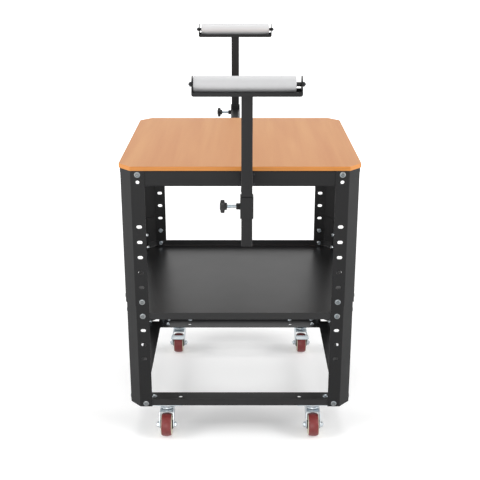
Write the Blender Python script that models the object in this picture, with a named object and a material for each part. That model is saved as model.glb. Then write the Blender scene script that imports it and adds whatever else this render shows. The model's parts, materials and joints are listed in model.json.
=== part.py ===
# Rolling tool stand: a bolted sheet-steel frame with a wooden top and a tray shelf, on four swivel
# casters, and with a height-adjustable roller support that slides out at each end.
# Metres, +Z up. X runs left to right, Y runs front to back, and the floor is at Z = 0.
import math

import bpy
import bmesh
from mathutils import Vector

# Overall sizes
STAND_WIDTH = 0.610
STAND_DEPTH = 0.546
TABLE_HEIGHT = 0.779
CASTER_HEIGHT = 0.090
FIT = 0.0003
OVERRUN = 0.003

# Wooden top
TABLE_THICK = 0.0112
TABLE_OVERHANG = 0.003
TABLE_CORNER = 0.032

# Legs, each in an upper section outside and a lower section inside
LEG_SHEET = 0.002
LEG_FLANGE = 0.064
LEG_CHAMFER = 0.030
UPPER_LEG_LENGTH = 0.3735
LEG_LAP = 0.062
HOLE_INSET = 0.047
TOP_HOLE_DROP = 0.031
TOP_HOLE_RADIUS = 0.0048
FIRST_SLOT_DROP = 0.1505
SLOT_PITCH = 0.0422
SLOT_LENGTH = 0.014
SLOT_HEIGHT = 0.009
SLOT_PLACES = 10
BOLTED_PLACES = (5, 6)

# Rails under the top
RAIL_HEIGHT = 0.0425
RAIL_SHEET = 0.002
RAIL_TOP_FLANGE = 0.020
RAIL_BOTTOM_FLANGE = 0.014
RAIL_END_GAP = 0.004

# Tray shelf
SHELF_HEIGHT = 0.354
SHELF_LIP = 0.019
SHELF_SHEET = 0.0015

# Rails at the foot of the legs
BASE_LIP = 0.0205
BASE_SHEET = 0.002
BASE_END_FLANGE = 0.068
BASE_SIDE_FLANGE = 0.0385

# Guides under the top, and the arms that slide in them
GUIDE_SIZE = 0.030
GUIDE_WALL = 0.002
GUIDE_GAP = 0.001
GUIDE_DROP = 0.0185
GUIDE_FLANGE_WIDTH = 0.056
GUIDE_FLANGE_SHEET = 0.002
SLIDE_CLEARANCE = 0.0005
ARM_WALL = 0.0015
ARM_LENGTH = 0.510
POST_REACH = 0.2225
LOCK_INSET = 0.032

# Sleeves at the arms' ends, and the posts in them
SLEEVE_SIZE = 0.030
SLEEVE_WALL = 0.002
SLEEVE_HEIGHT = 0.050
POST_WALL = 0.0015
POST_LENGTH = 0.345
POST_RISE = 0.225
PLUG_HEAD = 0.002
PLUG_DEPTH = 0.010

# Clamp knobs, with their screws and welded nuts
KNOB_RADIUS = 0.0155
KNOB_THICK = 0.0095
KNOB_EDGE = 0.0025
KNOB_CROWN = 0.0015
KNOB_CROWN_RADIUS = 0.009
KNOB_LOBES = 7
KNOB_LOBE_SHARE = 0.16
KNOB_HUB_RADIUS = 0.0085
KNOB_HUB_LENGTH = 0.0055
SCREW_RADIUS = 0.004
SCREW_CLEARANCE = 0.0003
SCREW_SHOWING = 0.0205
LOCK_SCREW_SHOWING = 0.0075
NUT_FLATS = 0.013
NUT_THICK = 0.009

# Roller brackets and rollers
BRACKET_LENGTH = 0.2385
BRACKET_DEPTH = 0.052
BRACKET_SHEET = 0.002
BRACKET_LIP = 0.009
EAR_RADIUS = 0.019
ROLLER_RISE = 0.0225
ROLLER_RADIUS = 0.0178
ROLLER_LENGTH = 0.2215
ROLLER_WALL = 0.0015
ROLLER_END = 0.006
FRONT_ROLLER_SHIFT = -0.005
ROLLER_AXLE_RADIUS = 0.003
AXLE_CLEARANCE = 0.0003
AXLE_NUT_FLATS = 0.010
AXLE_NUT_THICK = 0.005
AXLE_PROUD = 0.002
SPACER_RADIUS = 0.0048

# Casters
CASTER_SIDE_INSET = 0.102
CASTER_END_INSET = 0.035
CASTER_TRAIL = 0.030
PLATE_LENGTH = 0.092
PLATE_WIDTH = 0.054
PLATE_THICK = 0.0025
PLATE_HOLE_LENGTHWAYS = 0.073
PLATE_HOLE_CROSSWAYS = 0.032
PLATE_HOLE_RADIUS = 0.0042
RACE_RADIUS = 0.021
RACE_NECK_RADIUS = 0.018
RACE_HEIGHT = 0.0165
KINGPIN_RADIUS = 0.005
KINGPIN_DROP = 0.006
WHEEL_RADIUS = 0.0317
WHEEL_WIDTH = 0.030
TREAD_CROWN = 0.0025
HUB_RADIUS = 0.012
CORE_RADIUS = 0.023
CORE_DISH = 0.003
FORK_GAP = 0.003
FORK_SHEET = 0.0025
FORK_CROWN_REACH = 0.028
FORK_HEEL_DROP = 0.008
FORK_NOSE_RADIUS = 0.010
WHEEL_AXLE_RADIUS = 0.004
WHEEL_NUT_FLATS = 0.013
WHEEL_NUT_THICK = 0.006

# Brake pedals of the back casters
PEDAL_PIVOT_OUT = 0.026
PEDAL_PIVOT_RISE = 0.033
PEDAL_PIN_RADIUS = 0.0025
PEDAL_BOSS_RADIUS = 0.005
PEDAL_SHEET = 0.0025
PEDAL_WIDTH = 0.040
PEDAL_LENGTH = 0.026
PEDAL_LIFT = 0.010
PEDAL_NECK = 0.008
PEDAL_SIDE_GAP = 0.001

# Facets
ROUND_SIDES = 28
SMALL_SIDES = 12
ARC_STEPS = 4

# Places worked out from the sizes above
HALF_WIDTH = STAND_WIDTH / 2
HALF_DEPTH = STAND_DEPTH / 2
FRAME_TOP = TABLE_HEIGHT - TABLE_THICK - FIT
UPPER_LEG_BOTTOM = FRAME_TOP - UPPER_LEG_LENGTH
LOWER_LEG_TOP = UPPER_LEG_BOTTOM + LEG_LAP
LEG_STEP = LEG_SHEET + FIT
RAIL_BOTTOM = FRAME_TOP - RAIL_HEIGHT
RAIL_END = LEG_CHAMFER + RAIL_END_GAP
GUIDE_X = (GUIDE_SIZE + GUIDE_GAP) / 2
GUIDE_Z = FRAME_TOP - GUIDE_DROP
ARM_SIZE = GUIDE_SIZE - 2 * GUIDE_WALL - 2 * SLIDE_CLEARANCE
POST_SIZE = SLEEVE_SIZE - 2 * SLEEVE_WALL - 2 * SLIDE_CLEARANCE
POST_Y = HALF_DEPTH + POST_REACH
LOCK_Y = HALF_DEPTH - LOCK_INSET
POST_TOP = TABLE_HEIGHT + POST_RISE
CASTER_X = HALF_WIDTH - CASTER_SIDE_INSET
CASTER_Y = HALF_DEPTH - CASTER_END_INSET
PLATE_TOP = CASTER_HEIGHT - FIT
RACE_BOTTOM = PLATE_TOP - PLATE_THICK - RACE_HEIGHT
FORK_TOP = RACE_BOTTOM - FIT
FORK_INSIDE = WHEEL_WIDTH / 2 + FORK_GAP
FORK_OUTSIDE = FORK_INSIDE + FORK_SHEET


def clear_objects():
    for old in list(bpy.data.objects):
        bpy.data.objects.remove(old, do_unlink=True)


def srgb_to_linear(value):
    if value <= 0.04045:
        return value / 12.92
    return ((value + 0.055) / 1.055) ** 2.4


def finish(name, colour, roughness, metallic):
    """A material from its sRGB hex colour, its roughness and its metallic value."""
    made = bpy.data.materials.new(name)
    made.use_nodes = True
    shader = made.node_tree.nodes["Principled BSDF"]
    channels = [int(colour[i:i + 2], 16) / 255 for i in (1, 3, 5)]
    shader.inputs["Base Color"].default_value = [srgb_to_linear(c) for c in channels] + [1.0]
    shader.inputs["Roughness"].default_value = roughness
    shader.inputs["Metallic"].default_value = metallic
    return made


def place(name, mesh, material, at=(0, 0, 0), parent=None):
    """A named object whose own origin is at the given place in the world."""
    mesh.name = name
    mesh.materials.append(material)
    made = bpy.data.objects.new(name, mesh)
    bpy.context.collection.objects.link(made)
    made.location = Vector(at) - (parent["at"] if parent else Vector((0, 0, 0)))
    made.parent = parent["empty"] if parent else None
    return made


def pivot(name, at):
    """An empty on a joint's axis, which the pieces of one moving body hang from."""
    made = bpy.data.objects.new(name, None)
    bpy.context.collection.objects.link(made)
    made.location = at
    return {"empty": made, "at": Vector(at)}


def close_mesh(work, smooth):
    bmesh.ops.recalc_face_normals(work, faces=work.faces)
    mesh = bpy.data.meshes.new("mesh")
    work.to_mesh(mesh)
    work.free()
    if smooth:
        mesh.shade_smooth()
        mesh.set_sharp_from_angle(angle=math.radians(35))
    return mesh


def add_band(work, ring_a, ring_b):
    count = len(ring_a)
    for i in range(count):
        j = (i + 1) % count
        work.faces.new((ring_a[i], ring_a[j], ring_b[j], ring_b[i]))


def point_on(axis, along, first, second):
    """A point from its place along an axis and its two places across it, in X, Y, Z order."""
    if axis == "X":
        return (along, first, second)
    if axis == "Y":
        return (first, along, second)
    return (first, second, along)


def add_prism(work, outline, axis, low, high):
    rings = [[work.verts.new(point_on(axis, end, *p)) for p in outline] for end in (low, high)]
    work.faces.new(rings[0])
    work.faces.new(list(reversed(rings[1])))
    add_band(work, rings[0], rings[1])


def prism(outline, axis, low, high):
    work = bmesh.new()
    add_prism(work, outline, axis, low, high)
    return close_mesh(work, False)


def rectangle(x_low, x_high, y_low, y_high):
    return [(x_low, y_low), (x_high, y_low), (x_high, y_high), (x_low, y_high)]


def square(size, x=0, y=0):
    half = size / 2
    return rectangle(x - half, x + half, y - half, y + half)


def arc(centre, radius, start, stop, steps):
    """Points on an arc, from one angle to another in degrees."""
    angles = [math.radians(start + (stop - start) * i / steps) for i in range(steps + 1)]
    return [(centre[0] + radius * math.cos(a), centre[1] + radius * math.sin(a)) for a in angles]


def circle(centre, radius, sides):
    return arc(centre, radius, 0, 360, sides)[:-1]


def slot_outline(centre, length, height):
    reach = (length - height) / 2
    right = arc((centre[0] + reach, centre[1]), height / 2, -90, 90, ARC_STEPS)
    left = arc((centre[0] - reach, centre[1]), height / 2, 90, 270, ARC_STEPS)
    return right + left


def hexagon(centre, flats):
    return circle(centre, flats / 2 / math.cos(math.pi / 6), 6)


def square_tube(size, wall, axis, low, high, x=0, y=0):
    """A square tube that is open at both ends, centred on the two places across its axis."""
    work = bmesh.new()
    loops = []
    for end in (low, high):
        for side in (size, size - 2 * wall):
            loops.append([work.verts.new(point_on(axis, end, *p)) for p in square(side, x, y)])
    outer_low, inner_low, outer_high, inner_high = loops
    add_band(work, outer_low, outer_high)
    add_band(work, inner_low, inner_high)
    add_band(work, outer_low, inner_low)
    add_band(work, outer_high, inner_high)
    return close_mesh(work, False)


def ring_radius(radius, kind, turn):
    """The reach of a ring at one share of a turn: round, six-sided across flats, or lobed."""
    if kind == "hex":
        off = (turn * 6) % 1 - 1 / 2
        return radius / math.cos(off * math.pi / 3)
    if kind == "star":
        return radius * (1 - KNOB_LOBE_SHARE * (1 - math.cos(turn * math.tau * KNOB_LOBES)) / 2)
    return radius


def turned(profile, axis, sides, hollow=False):
    """A turned body from steps of place along the axis, radius and kind. A hollow one has a bore."""
    work = bmesh.new()
    rings = []
    for along, radius, kind in profile:
        ring = []
        for i in range(sides):
            reach = ring_radius(radius, kind, i / sides)
            angle = math.tau * i / sides
            place_across = (reach * math.cos(angle), reach * math.sin(angle))
            ring.append(work.verts.new(point_on(axis, along, *place_across)))
        rings.append(ring)
    for near, far in zip(rings, rings[1:]):
        add_band(work, near, far)
    if hollow:
        add_band(work, rings[-1], rings[0])
    else:
        work.faces.new(rings[0])
        work.faces.new(list(reversed(rings[-1])))
    return close_mesh(work, True)


def combine(target, tool_mesh, operation):
    """Cuts, joins or trims a piece with a hidden tool that shares its place."""
    tool = bpy.data.objects.new(target.name + "_tool", tool_mesh)
    bpy.context.collection.objects.link(tool)
    tool.parent = target.parent
    tool.location = target.location
    tool.hide_render = True
    tool.hide_viewport = True
    tool.display_type = "WIRE"
    change = target.modifiers.new(operation.lower(), "BOOLEAN")
    change.operation = operation
    change.solver = "EXACT"
    change.object = tool


def corner_point(side, end, u, v):
    """A plan point from its distances inside the stand's outer side and outer end."""
    return (side * (HALF_WIDTH - u), end * (HALF_DEPTH - v))


def corner_path(inset):
    """The bent leg's path at a depth below its outer face, from the end flange to the side flange."""
    bend = LEG_CHAMFER + (math.sqrt(2) - 1) * inset
    return [(LEG_FLANGE, inset), (bend, inset), (inset, bend), (inset, LEG_FLANGE)]


def slot_height(place_number):
    return FRAME_TOP - FIRST_SLOT_DROP - place_number * SLOT_PITCH


def leg_holes(side, end, low, high, with_top_hole):
    """One cutter for all the holes in both flanges of a leg section."""
    work = bmesh.new()
    outlines = []
    for number in range(SLOT_PLACES):
        height = slot_height(number)
        inside = low + SLOT_HEIGHT / 2 < height < high - SLOT_HEIGHT / 2
        if inside and number not in BOLTED_PLACES:
            outlines.append(lambda across, z=height: slot_outline((across, z), SLOT_LENGTH, SLOT_HEIGHT))
    if with_top_hole:
        height = FRAME_TOP - TOP_HOLE_DROP
        outlines.append(lambda across, z=height: circle((across, z), TOP_HOLE_RADIUS, SMALL_SIDES))
    hole_x, hole_y = corner_point(side, end, HOLE_INSET, HOLE_INSET)
    depth = 2 * LEG_STEP + OVERRUN
    for outline in outlines:
        near, far = sorted((end * (HALF_DEPTH + OVERRUN), end * (HALF_DEPTH - depth)))
        add_prism(work, outline(hole_x), "Y", near, far)
        near, far = sorted((side * (HALF_WIDTH + OVERRUN), side * (HALF_WIDTH - depth)))
        add_prism(work, outline(hole_y), "X", near, far)
    return close_mesh(work, False)


def make_leg(name, side, end, inset, low, high, with_top_hole, material):
    path = corner_path(inset) + list(reversed(corner_path(inset + LEG_SHEET)))
    outline = [corner_point(side, end, u, v) for u, v in path]
    leg = place(name, prism(outline, "Z", low, high), material)
    combine(leg, leg_holes(side, end, low, high, with_top_hole), "DIFFERENCE")


def make_legs(material):
    for side, side_name in ((-1, "left"), (1, "right")):
        for end, end_name in ((-1, "front"), (1, "back")):
            name = end_name + "_" + side_name + "_leg"
            make_leg(name + "_upper", side, end, 0, UPPER_LEG_BOTTOM, FRAME_TOP, True, material)
            make_leg(name + "_lower", side, end, LEG_STEP, CASTER_HEIGHT, LOWER_LEG_TOP, False, material)


def make_table(material):
    half_x = HALF_WIDTH + TABLE_OVERHANG
    half_y = HALF_DEPTH + TABLE_OVERHANG
    outline = []
    for side, end in ((1, 1), (-1, 1), (-1, -1), (1, -1)):
        on_side = (side * half_x, end * (half_y - TABLE_CORNER))
        on_end = (side * (half_x - TABLE_CORNER), end * half_y)
        cut = [on_side, on_end]
        outline += cut if side == end else list(reversed(cut))
    place("tabletop", prism(outline, "Z", TABLE_HEIGHT - TABLE_THICK, TABLE_HEIGHT), material)


def rail_section(top_flange, bottom_flange, sheet, low, high):
    """A channel's section, with its web's outer face at zero and its flanges turned inwards."""
    return [
        (0, low), (bottom_flange, low), (bottom_flange, low + sheet), (sheet, low + sheet),
        (sheet, high - sheet), (top_flange, high - sheet), (top_flange, high), (0, high),
    ]


def angle_section(flange, sheet, low, high):
    """An angle's section, with its flange at the bottom turned inwards."""
    return [(0, low), (flange, low), (flange, low + sheet), (sheet, low + sheet), (sheet, high), (0, high)]


def make_end_rail(name, end, inset, section, material):
    """A rail that runs left to right behind the leg flanges at the front or the back."""
    outline = [(end * (HALF_DEPTH - inset - depth), height) for depth, height in section]
    reach = HALF_WIDTH - RAIL_END
    return place(name, prism(outline, "X", -reach, reach), material)


def make_side_rail(name, side, inset, section, material):
    """A rail that runs front to back behind the leg flanges at the left or the right."""
    outline = [(side * (HALF_WIDTH - inset - depth), height) for depth, height in section]
    reach = HALF_DEPTH - RAIL_END
    return place(name, prism(outline, "Y", -reach, reach), material)


def make_top_rails(material):
    section = rail_section(RAIL_TOP_FLANGE, RAIL_BOTTOM_FLANGE, RAIL_SHEET, RAIL_BOTTOM, FRAME_TOP)
    for side, name in ((-1, "left"), (1, "right")):
        make_side_rail(name + "_top_rail", side, LEG_STEP, section, material)
    for end, name in ((-1, "front"), (1, "back")):
        rail = make_end_rail(name + "_top_rail", end, LEG_STEP, section, material)
        window = square(GUIDE_SIZE + 2 * FIT, -end * GUIDE_X, GUIDE_Z)
        behind = HALF_DEPTH - LEG_STEP - RAIL_SHEET - OVERRUN
        near, far = sorted((end * (HALF_DEPTH + OVERRUN), end * behind))
        combine(rail, prism(window, "Y", near, far), "DIFFERENCE")


def caster_holes(centres, low, high):
    """One cutter for the four bolt holes round each caster's centre."""
    work = bmesh.new()
    for x, y in centres:
        for lengthways in (-1, 1):
            for crossways in (-1, 1):
                hole_x = x + lengthways * PLATE_HOLE_LENGTHWAYS / 2
                hole_y = y + crossways * PLATE_HOLE_CROSSWAYS / 2
                hole = circle((hole_x, hole_y), PLATE_HOLE_RADIUS, SMALL_SIDES)
                add_prism(work, hole, "Z", low, high)
    return close_mesh(work, False)


def make_base_rails(material):
    inset = 2 * LEG_STEP
    top = CASTER_HEIGHT + BASE_LIP
    end_section = angle_section(BASE_END_FLANGE, BASE_SHEET, CASTER_HEIGHT, top)
    for end, name in ((-1, "front"), (1, "back")):
        rail = make_end_rail(name + "_base_rail", end, inset, end_section, material)
        centres = [(side * CASTER_X, end * CASTER_Y) for side in (-1, 1)]
        holes = caster_holes(centres, CASTER_HEIGHT - OVERRUN, CASTER_HEIGHT + BASE_SHEET + OVERRUN)
        combine(rail, holes, "DIFFERENCE")
    side_low = CASTER_HEIGHT + BASE_SHEET + FIT
    side_section = angle_section(BASE_SIDE_FLANGE, BASE_SHEET, side_low, top)
    for side, name in ((-1, "left"), (1, "right")):
        make_side_rail(name + "_base_rail", side, inset, side_section, material)


def make_shelf(material):
    """A pan with an upturned lip all round, whose corners follow the legs."""
    work = bmesh.new()
    loops = []
    floor_low = SHELF_HEIGHT - SHELF_SHEET
    lip_top = SHELF_HEIGHT + SHELF_LIP
    steps = ((0, floor_low), (0, lip_top), (SHELF_SHEET, lip_top), (SHELF_SHEET, SHELF_HEIGHT))
    for inside, height in steps:
        inset = 2 * LEG_STEP + inside
        bend = LEG_CHAMFER + (math.sqrt(2) - 1) * inset
        loop = []
        for side, end in ((1, 1), (-1, 1), (-1, -1), (1, -1)):
            cut = [corner_point(side, end, inset, bend), corner_point(side, end, bend, inset)]
            for x, y in cut if side == end else reversed(cut):
                loop.append(work.verts.new((x, y, height)))
        loops.append(loop)
    for near, far in zip(loops, loops[1:]):
        add_band(work, near, far)
    work.faces.new(loops[0])
    work.faces.new(list(reversed(loops[-1])))
    place("tray_shelf", close_mesh(work, False), material)


def make_guide(name, end, x, material):
    """A square guide tube from its own end rail to the other one, with a flange and a welded nut."""
    outer = end * (HALF_DEPTH - LEG_STEP)
    inner = -end * (HALF_DEPTH - LEG_STEP - RAIL_SHEET - FIT)
    low, high = sorted((outer, inner))
    guide = place(name, square_tube(GUIDE_SIZE, GUIDE_WALL, "Y", low, high, x, GUIDE_Z), material)
    behind = HALF_DEPTH - LEG_STEP - RAIL_SHEET - FIT
    near, far = sorted((end * behind, end * (behind - GUIDE_FLANGE_SHEET)))
    flange_low = RAIL_BOTTOM + RAIL_SHEET + FIT
    flange_high = FRAME_TOP - RAIL_SHEET - FIT
    side = 1 if x > 0 else -1
    flange_near = x - side * GUIDE_SIZE / 2
    flange_far = flange_near + side * GUIDE_FLANGE_WIDTH
    plate = rectangle(min(flange_near, flange_far), max(flange_near, flange_far), flange_low, flange_high)
    combine(guide, prism(plate, "Y", near, far), "UNION")
    bottom = GUIDE_Z - GUIDE_SIZE / 2
    nut = hexagon((x, end * LOCK_Y), NUT_FLATS)
    combine(guide, prism(nut, "Z", bottom - NUT_THICK, bottom + GUIDE_WALL / 2), "UNION")
    channel = square(GUIDE_SIZE - 2 * GUIDE_WALL, x, GUIDE_Z)
    combine(guide, prism(channel, "Y", low - OVERRUN, high + OVERRUN), "DIFFERENCE")
    hole = circle((x, end * LOCK_Y), SCREW_RADIUS + SCREW_CLEARANCE, SMALL_SIDES)
    combine(guide, prism(hole, "Z", bottom - NUT_THICK - OVERRUN, GUIDE_Z), "DIFFERENCE")


def knob_profile(screw_inside, screw_showing):
    """A star knob and its screw, from the screw's tip to the knob's face, with the nut's face at zero."""
    star = screw_showing + KNOB_HUB_LENGTH
    return [
        (-screw_inside, SCREW_RADIUS, "round"),
        (screw_showing, SCREW_RADIUS, "round"),
        (screw_showing, KNOB_HUB_RADIUS, "round"),
        (star, KNOB_HUB_RADIUS, "round"),
        (star, KNOB_RADIUS - KNOB_EDGE, "star"),
        (star + KNOB_EDGE, KNOB_RADIUS, "star"),
        (star + KNOB_THICK - KNOB_EDGE, KNOB_RADIUS, "star"),
        (star + KNOB_THICK, KNOB_RADIUS - KNOB_EDGE, "star"),
        (star + KNOB_THICK + KNOB_CROWN, KNOB_CROWN_RADIUS, "round"),
    ]


def make_lock_knob(name, end, x, material):
    """The knob under a guide, whose screw holds the arm at its place."""
    nut_face = GUIDE_Z - GUIDE_SIZE / 2 - NUT_THICK
    inside = NUT_THICK + GUIDE_WALL + SLIDE_CLEARANCE - FIT
    steps = [(-along, radius, kind) for along, radius, kind in knob_profile(inside, LOCK_SCREW_SHOWING)]
    place(name, turned(steps, "Z", ROUND_SIDES), material, (x, end * LOCK_Y, nut_face))


def make_arm(name, end, x, material, parent):
    """An arm tube with its welded sleeve, whose nut takes the post's clamp knob."""
    centre = parent["at"]
    sleeve_half = SLEEVE_SIZE / 2
    arm = place(name, square_tube(SLEEVE_SIZE, SLEEVE_WALL, "Z", -SLEEVE_HEIGHT / 2, SLEEVE_HEIGHT / 2),
                material, centre, parent)
    weld = sleeve_half - SLEEVE_WALL / 2
    low, high = sorted((-end * weld, -end * (sleeve_half + ARM_LENGTH)))
    combine(arm, square_tube(ARM_SIZE, ARM_WALL, "Y", low, high), "UNION")
    combine(arm, prism(hexagon((0, 0), NUT_FLATS), "X", -sleeve_half - NUT_THICK, -weld), "UNION")
    hole = circle((0, 0), SCREW_RADIUS + SCREW_CLEARANCE, SMALL_SIDES)
    combine(arm, prism(hole, "X", -sleeve_half - NUT_THICK - OVERRUN, 0), "DIFFERENCE")


def make_post_knob(name, material, sleeve_at):
    """The knob on the left of a sleeve, whose screw holds the post at its height."""
    inside = NUT_THICK + SLEEVE_WALL + SLIDE_CLEARANCE - FIT
    steps = [(-along, radius, kind) for along, radius, kind in knob_profile(inside, SCREW_SHOWING)]
    nut_face = sleeve_at - Vector((SLEEVE_SIZE / 2 + NUT_THICK, 0, 0))
    place(name, turned(steps, "X", ROUND_SIDES), material, nut_face)


def make_plug(name, axis, inward, tube_size, wall, material, at, parent):
    """A cap with a spigot that closes a square tube's end. Inward is the way into the tube."""
    head_low, head_high = sorted((-inward * (PLUG_HEAD + FIT), -inward * FIT))
    plug = place(name, prism(square(tube_size), axis, head_low, head_high), material, at, parent)
    stem_low, stem_high = sorted((-inward * (PLUG_HEAD / 2 + FIT), inward * PLUG_DEPTH))
    stem = square(tube_size - 2 * wall - 2 * FIT)
    combine(plug, prism(stem, axis, stem_low, stem_high), "UNION")


def ear_outline():
    """A bracket ear: a flat foot, straight sides and a round head about the roller's axis."""
    half = BRACKET_DEPTH / 2
    distance = math.hypot(half, ROLLER_RISE - BRACKET_LIP)
    lean = math.degrees(math.atan2(BRACKET_LIP - ROLLER_RISE, half) + math.acos(EAR_RADIUS / distance))
    head = arc((0, ROLLER_RISE), EAR_RADIUS, lean, 180 - lean, 2 * ARC_STEPS)
    return [(-half, 0), (half, 0), (half, BRACKET_LIP)] + head + [(-half, BRACKET_LIP)]


def make_bracket(name, material, parent):
    """A channel with upturned lips and a round-headed ear at each end."""
    half_length = BRACKET_LENGTH / 2
    half_depth = BRACKET_DEPTH / 2
    at = parent["at"]
    bracket = place(name, prism(ear_outline(), "X", -half_length, half_length), material, at, parent)
    inside = half_length - BRACKET_SHEET
    above = ROLLER_RISE + EAR_RADIUS + OVERRUN
    trough = rectangle(-half_depth + BRACKET_SHEET, half_depth - BRACKET_SHEET, BRACKET_SHEET, above)
    combine(bracket, prism(trough, "X", -inside, inside), "DIFFERENCE")
    over_lip = rectangle(-half_depth - OVERRUN, half_depth + OVERRUN, BRACKET_LIP, above)
    combine(bracket, prism(over_lip, "X", -inside, inside), "DIFFERENCE")
    bore = circle((0, ROLLER_RISE), ROLLER_AXLE_RADIUS + FIT, SMALL_SIDES)
    combine(bracket, prism(bore, "X", -half_length - OVERRUN, half_length + OVERRUN), "DIFFERENCE")


def nutted_axle(half_span, radius, nut_flats, nut_thick, proud):
    """An axle with a nut outside each end of the span that it crosses."""
    nut = nut_flats / 2
    inner = half_span + FIT
    outer = inner + nut_thick
    end = outer + proud
    steps = [
        (-end, radius, "round"), (-outer, radius, "round"), (-outer, nut, "hex"), (-inner, nut, "hex"),
        (-inner, radius, "round"), (inner, radius, "round"), (inner, nut, "hex"), (outer, nut, "hex"),
        (outer, radius, "round"), (end, radius, "round"),
    ]
    return turned(steps, "X", SMALL_SIDES)


def ring_profile(low, high, inner, outer):
    return [(low, inner, "round"), (low, outer, "round"), (high, outer, "round"), (high, inner, "round")]


def make_roller(name, shift, roller_metal, spacer_plastic, axle_metal, parent):
    """A tube roller with end plugs, its axle, and a spacer between each end and its ear."""
    at = parent["at"] + Vector((0, 0, ROLLER_RISE))
    half = ROLLER_LENGTH / 2
    bore = ROLLER_AXLE_RADIUS + AXLE_CLEARANCE
    inside = ROLLER_RADIUS - ROLLER_WALL
    plug = half - ROLLER_END
    profile = [
        (shift - half, bore, "round"), (shift - half, ROLLER_RADIUS, "round"),
        (shift + half, ROLLER_RADIUS, "round"), (shift + half, bore, "round"),
        (shift + plug, bore, "round"), (shift + plug, inside, "round"),
        (shift - plug, inside, "round"), (shift - plug, bore, "round"),
    ]
    place(name + "_roller", turned(profile, "X", ROUND_SIDES, True), roller_metal, at, parent)
    span = BRACKET_LENGTH / 2
    axle = nutted_axle(span, ROLLER_AXLE_RADIUS, AXLE_NUT_FLATS, AXLE_NUT_THICK, AXLE_PROUD)
    place(name + "_roller_axle", axle, axle_metal, at, parent)
    for side, side_name in ((-1, "left"), (1, "right")):
        ends = sorted((side * (span - BRACKET_SHEET - FIT), shift + side * (half + FIT)))
        spacer = turned(ring_profile(*ends, bore, SPACER_RADIUS), "X", SMALL_SIDES, True)
        place(name + "_" + side_name + "_roller_spacer", spacer, spacer_plastic, at, parent)


def make_roller_support(name, end, shift, finishes):
    """One end's guide, arm, post, bracket and roller, with the knobs that hold them."""
    x = -end * GUIDE_X
    sleeve_at = Vector((x, end * POST_Y, GUIDE_Z))
    arm_pivot = pivot(name + "_arm_slide", sleeve_at)
    post_pivot = pivot(name + "_post_slide", (x, end * POST_Y, POST_TOP + FIT))
    make_guide(name + "_arm_guide", end, x, finishes["steel"])
    make_lock_knob(name + "_arm_knob", end, x, finishes["plastic"])
    make_arm(name + "_arm", end, x, finishes["steel"], arm_pivot)
    arm_end = sleeve_at - Vector((0, end * (SLEEVE_SIZE / 2 + ARM_LENGTH), 0))
    make_plug(name + "_arm_plug", "Y", end, ARM_SIZE, ARM_WALL, finishes["plastic"], arm_end, arm_pivot)
    make_post_knob(name + "_post_knob", finishes["plastic"], sleeve_at)
    tube = square_tube(POST_SIZE, POST_WALL, "Z", -POST_LENGTH - FIT, -FIT)
    place(name + "_post", tube, finishes["steel"], post_pivot["at"], post_pivot)
    post_foot = post_pivot["at"] - Vector((0, 0, POST_LENGTH + FIT))
    make_plug(name + "_post_plug", "Z", 1, POST_SIZE, POST_WALL, finishes["plastic"], post_foot, post_pivot)
    make_bracket(name + "_bracket", finishes["steel"], post_pivot)
    make_roller(name, shift, finishes["roller"], finishes["plastic"], finishes["steel"], post_pivot)


def make_caster_plate(name, material, at):
    """The top plate with its swivel race and kingpin."""
    plate_low = PLATE_TOP - PLATE_THICK
    steps = [
        (RACE_BOTTOM - KINGPIN_DROP, KINGPIN_RADIUS, "round"), (RACE_BOTTOM, KINGPIN_RADIUS, "round"),
        (RACE_BOTTOM, RACE_NECK_RADIUS, "round"), ((RACE_BOTTOM + plate_low) / 2, RACE_RADIUS, "round"),
        (PLATE_TOP - PLATE_THICK / 2, RACE_NECK_RADIUS, "round"),
    ]
    plate = place(name, turned(steps, "Z", ROUND_SIDES), material, at)
    outline = rectangle(-PLATE_LENGTH / 2, PLATE_LENGTH / 2, -PLATE_WIDTH / 2, PLATE_WIDTH / 2)
    combine(plate, prism(outline, "Z", plate_low, PLATE_TOP), "UNION")
    combine(plate, caster_holes([(0, 0)], plate_low - OVERRUN, PLATE_TOP + OVERRUN), "DIFFERENCE")


def fork_outline(braked):
    """The side view of a fork: a crown under the race, and arms that lean back to the axle."""
    heel = (FORK_CROWN_REACH, FORK_TOP - FORK_HEEL_DROP)
    nose = arc((-CASTER_TRAIL, WHEEL_RADIUS), FORK_NOSE_RADIUS, -30, -180, ARC_STEPS)
    outline = [(FORK_CROWN_REACH, FORK_TOP), (-FORK_CROWN_REACH, FORK_TOP)]
    if braked:
        pin = (-CASTER_TRAIL - PEDAL_PIVOT_OUT, WHEEL_RADIUS + PEDAL_PIVOT_RISE)
        outline += arc(pin, PEDAL_BOSS_RADIUS, 90, 240, ARC_STEPS)
    return outline + list(reversed(nose)) + [heel]


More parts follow.
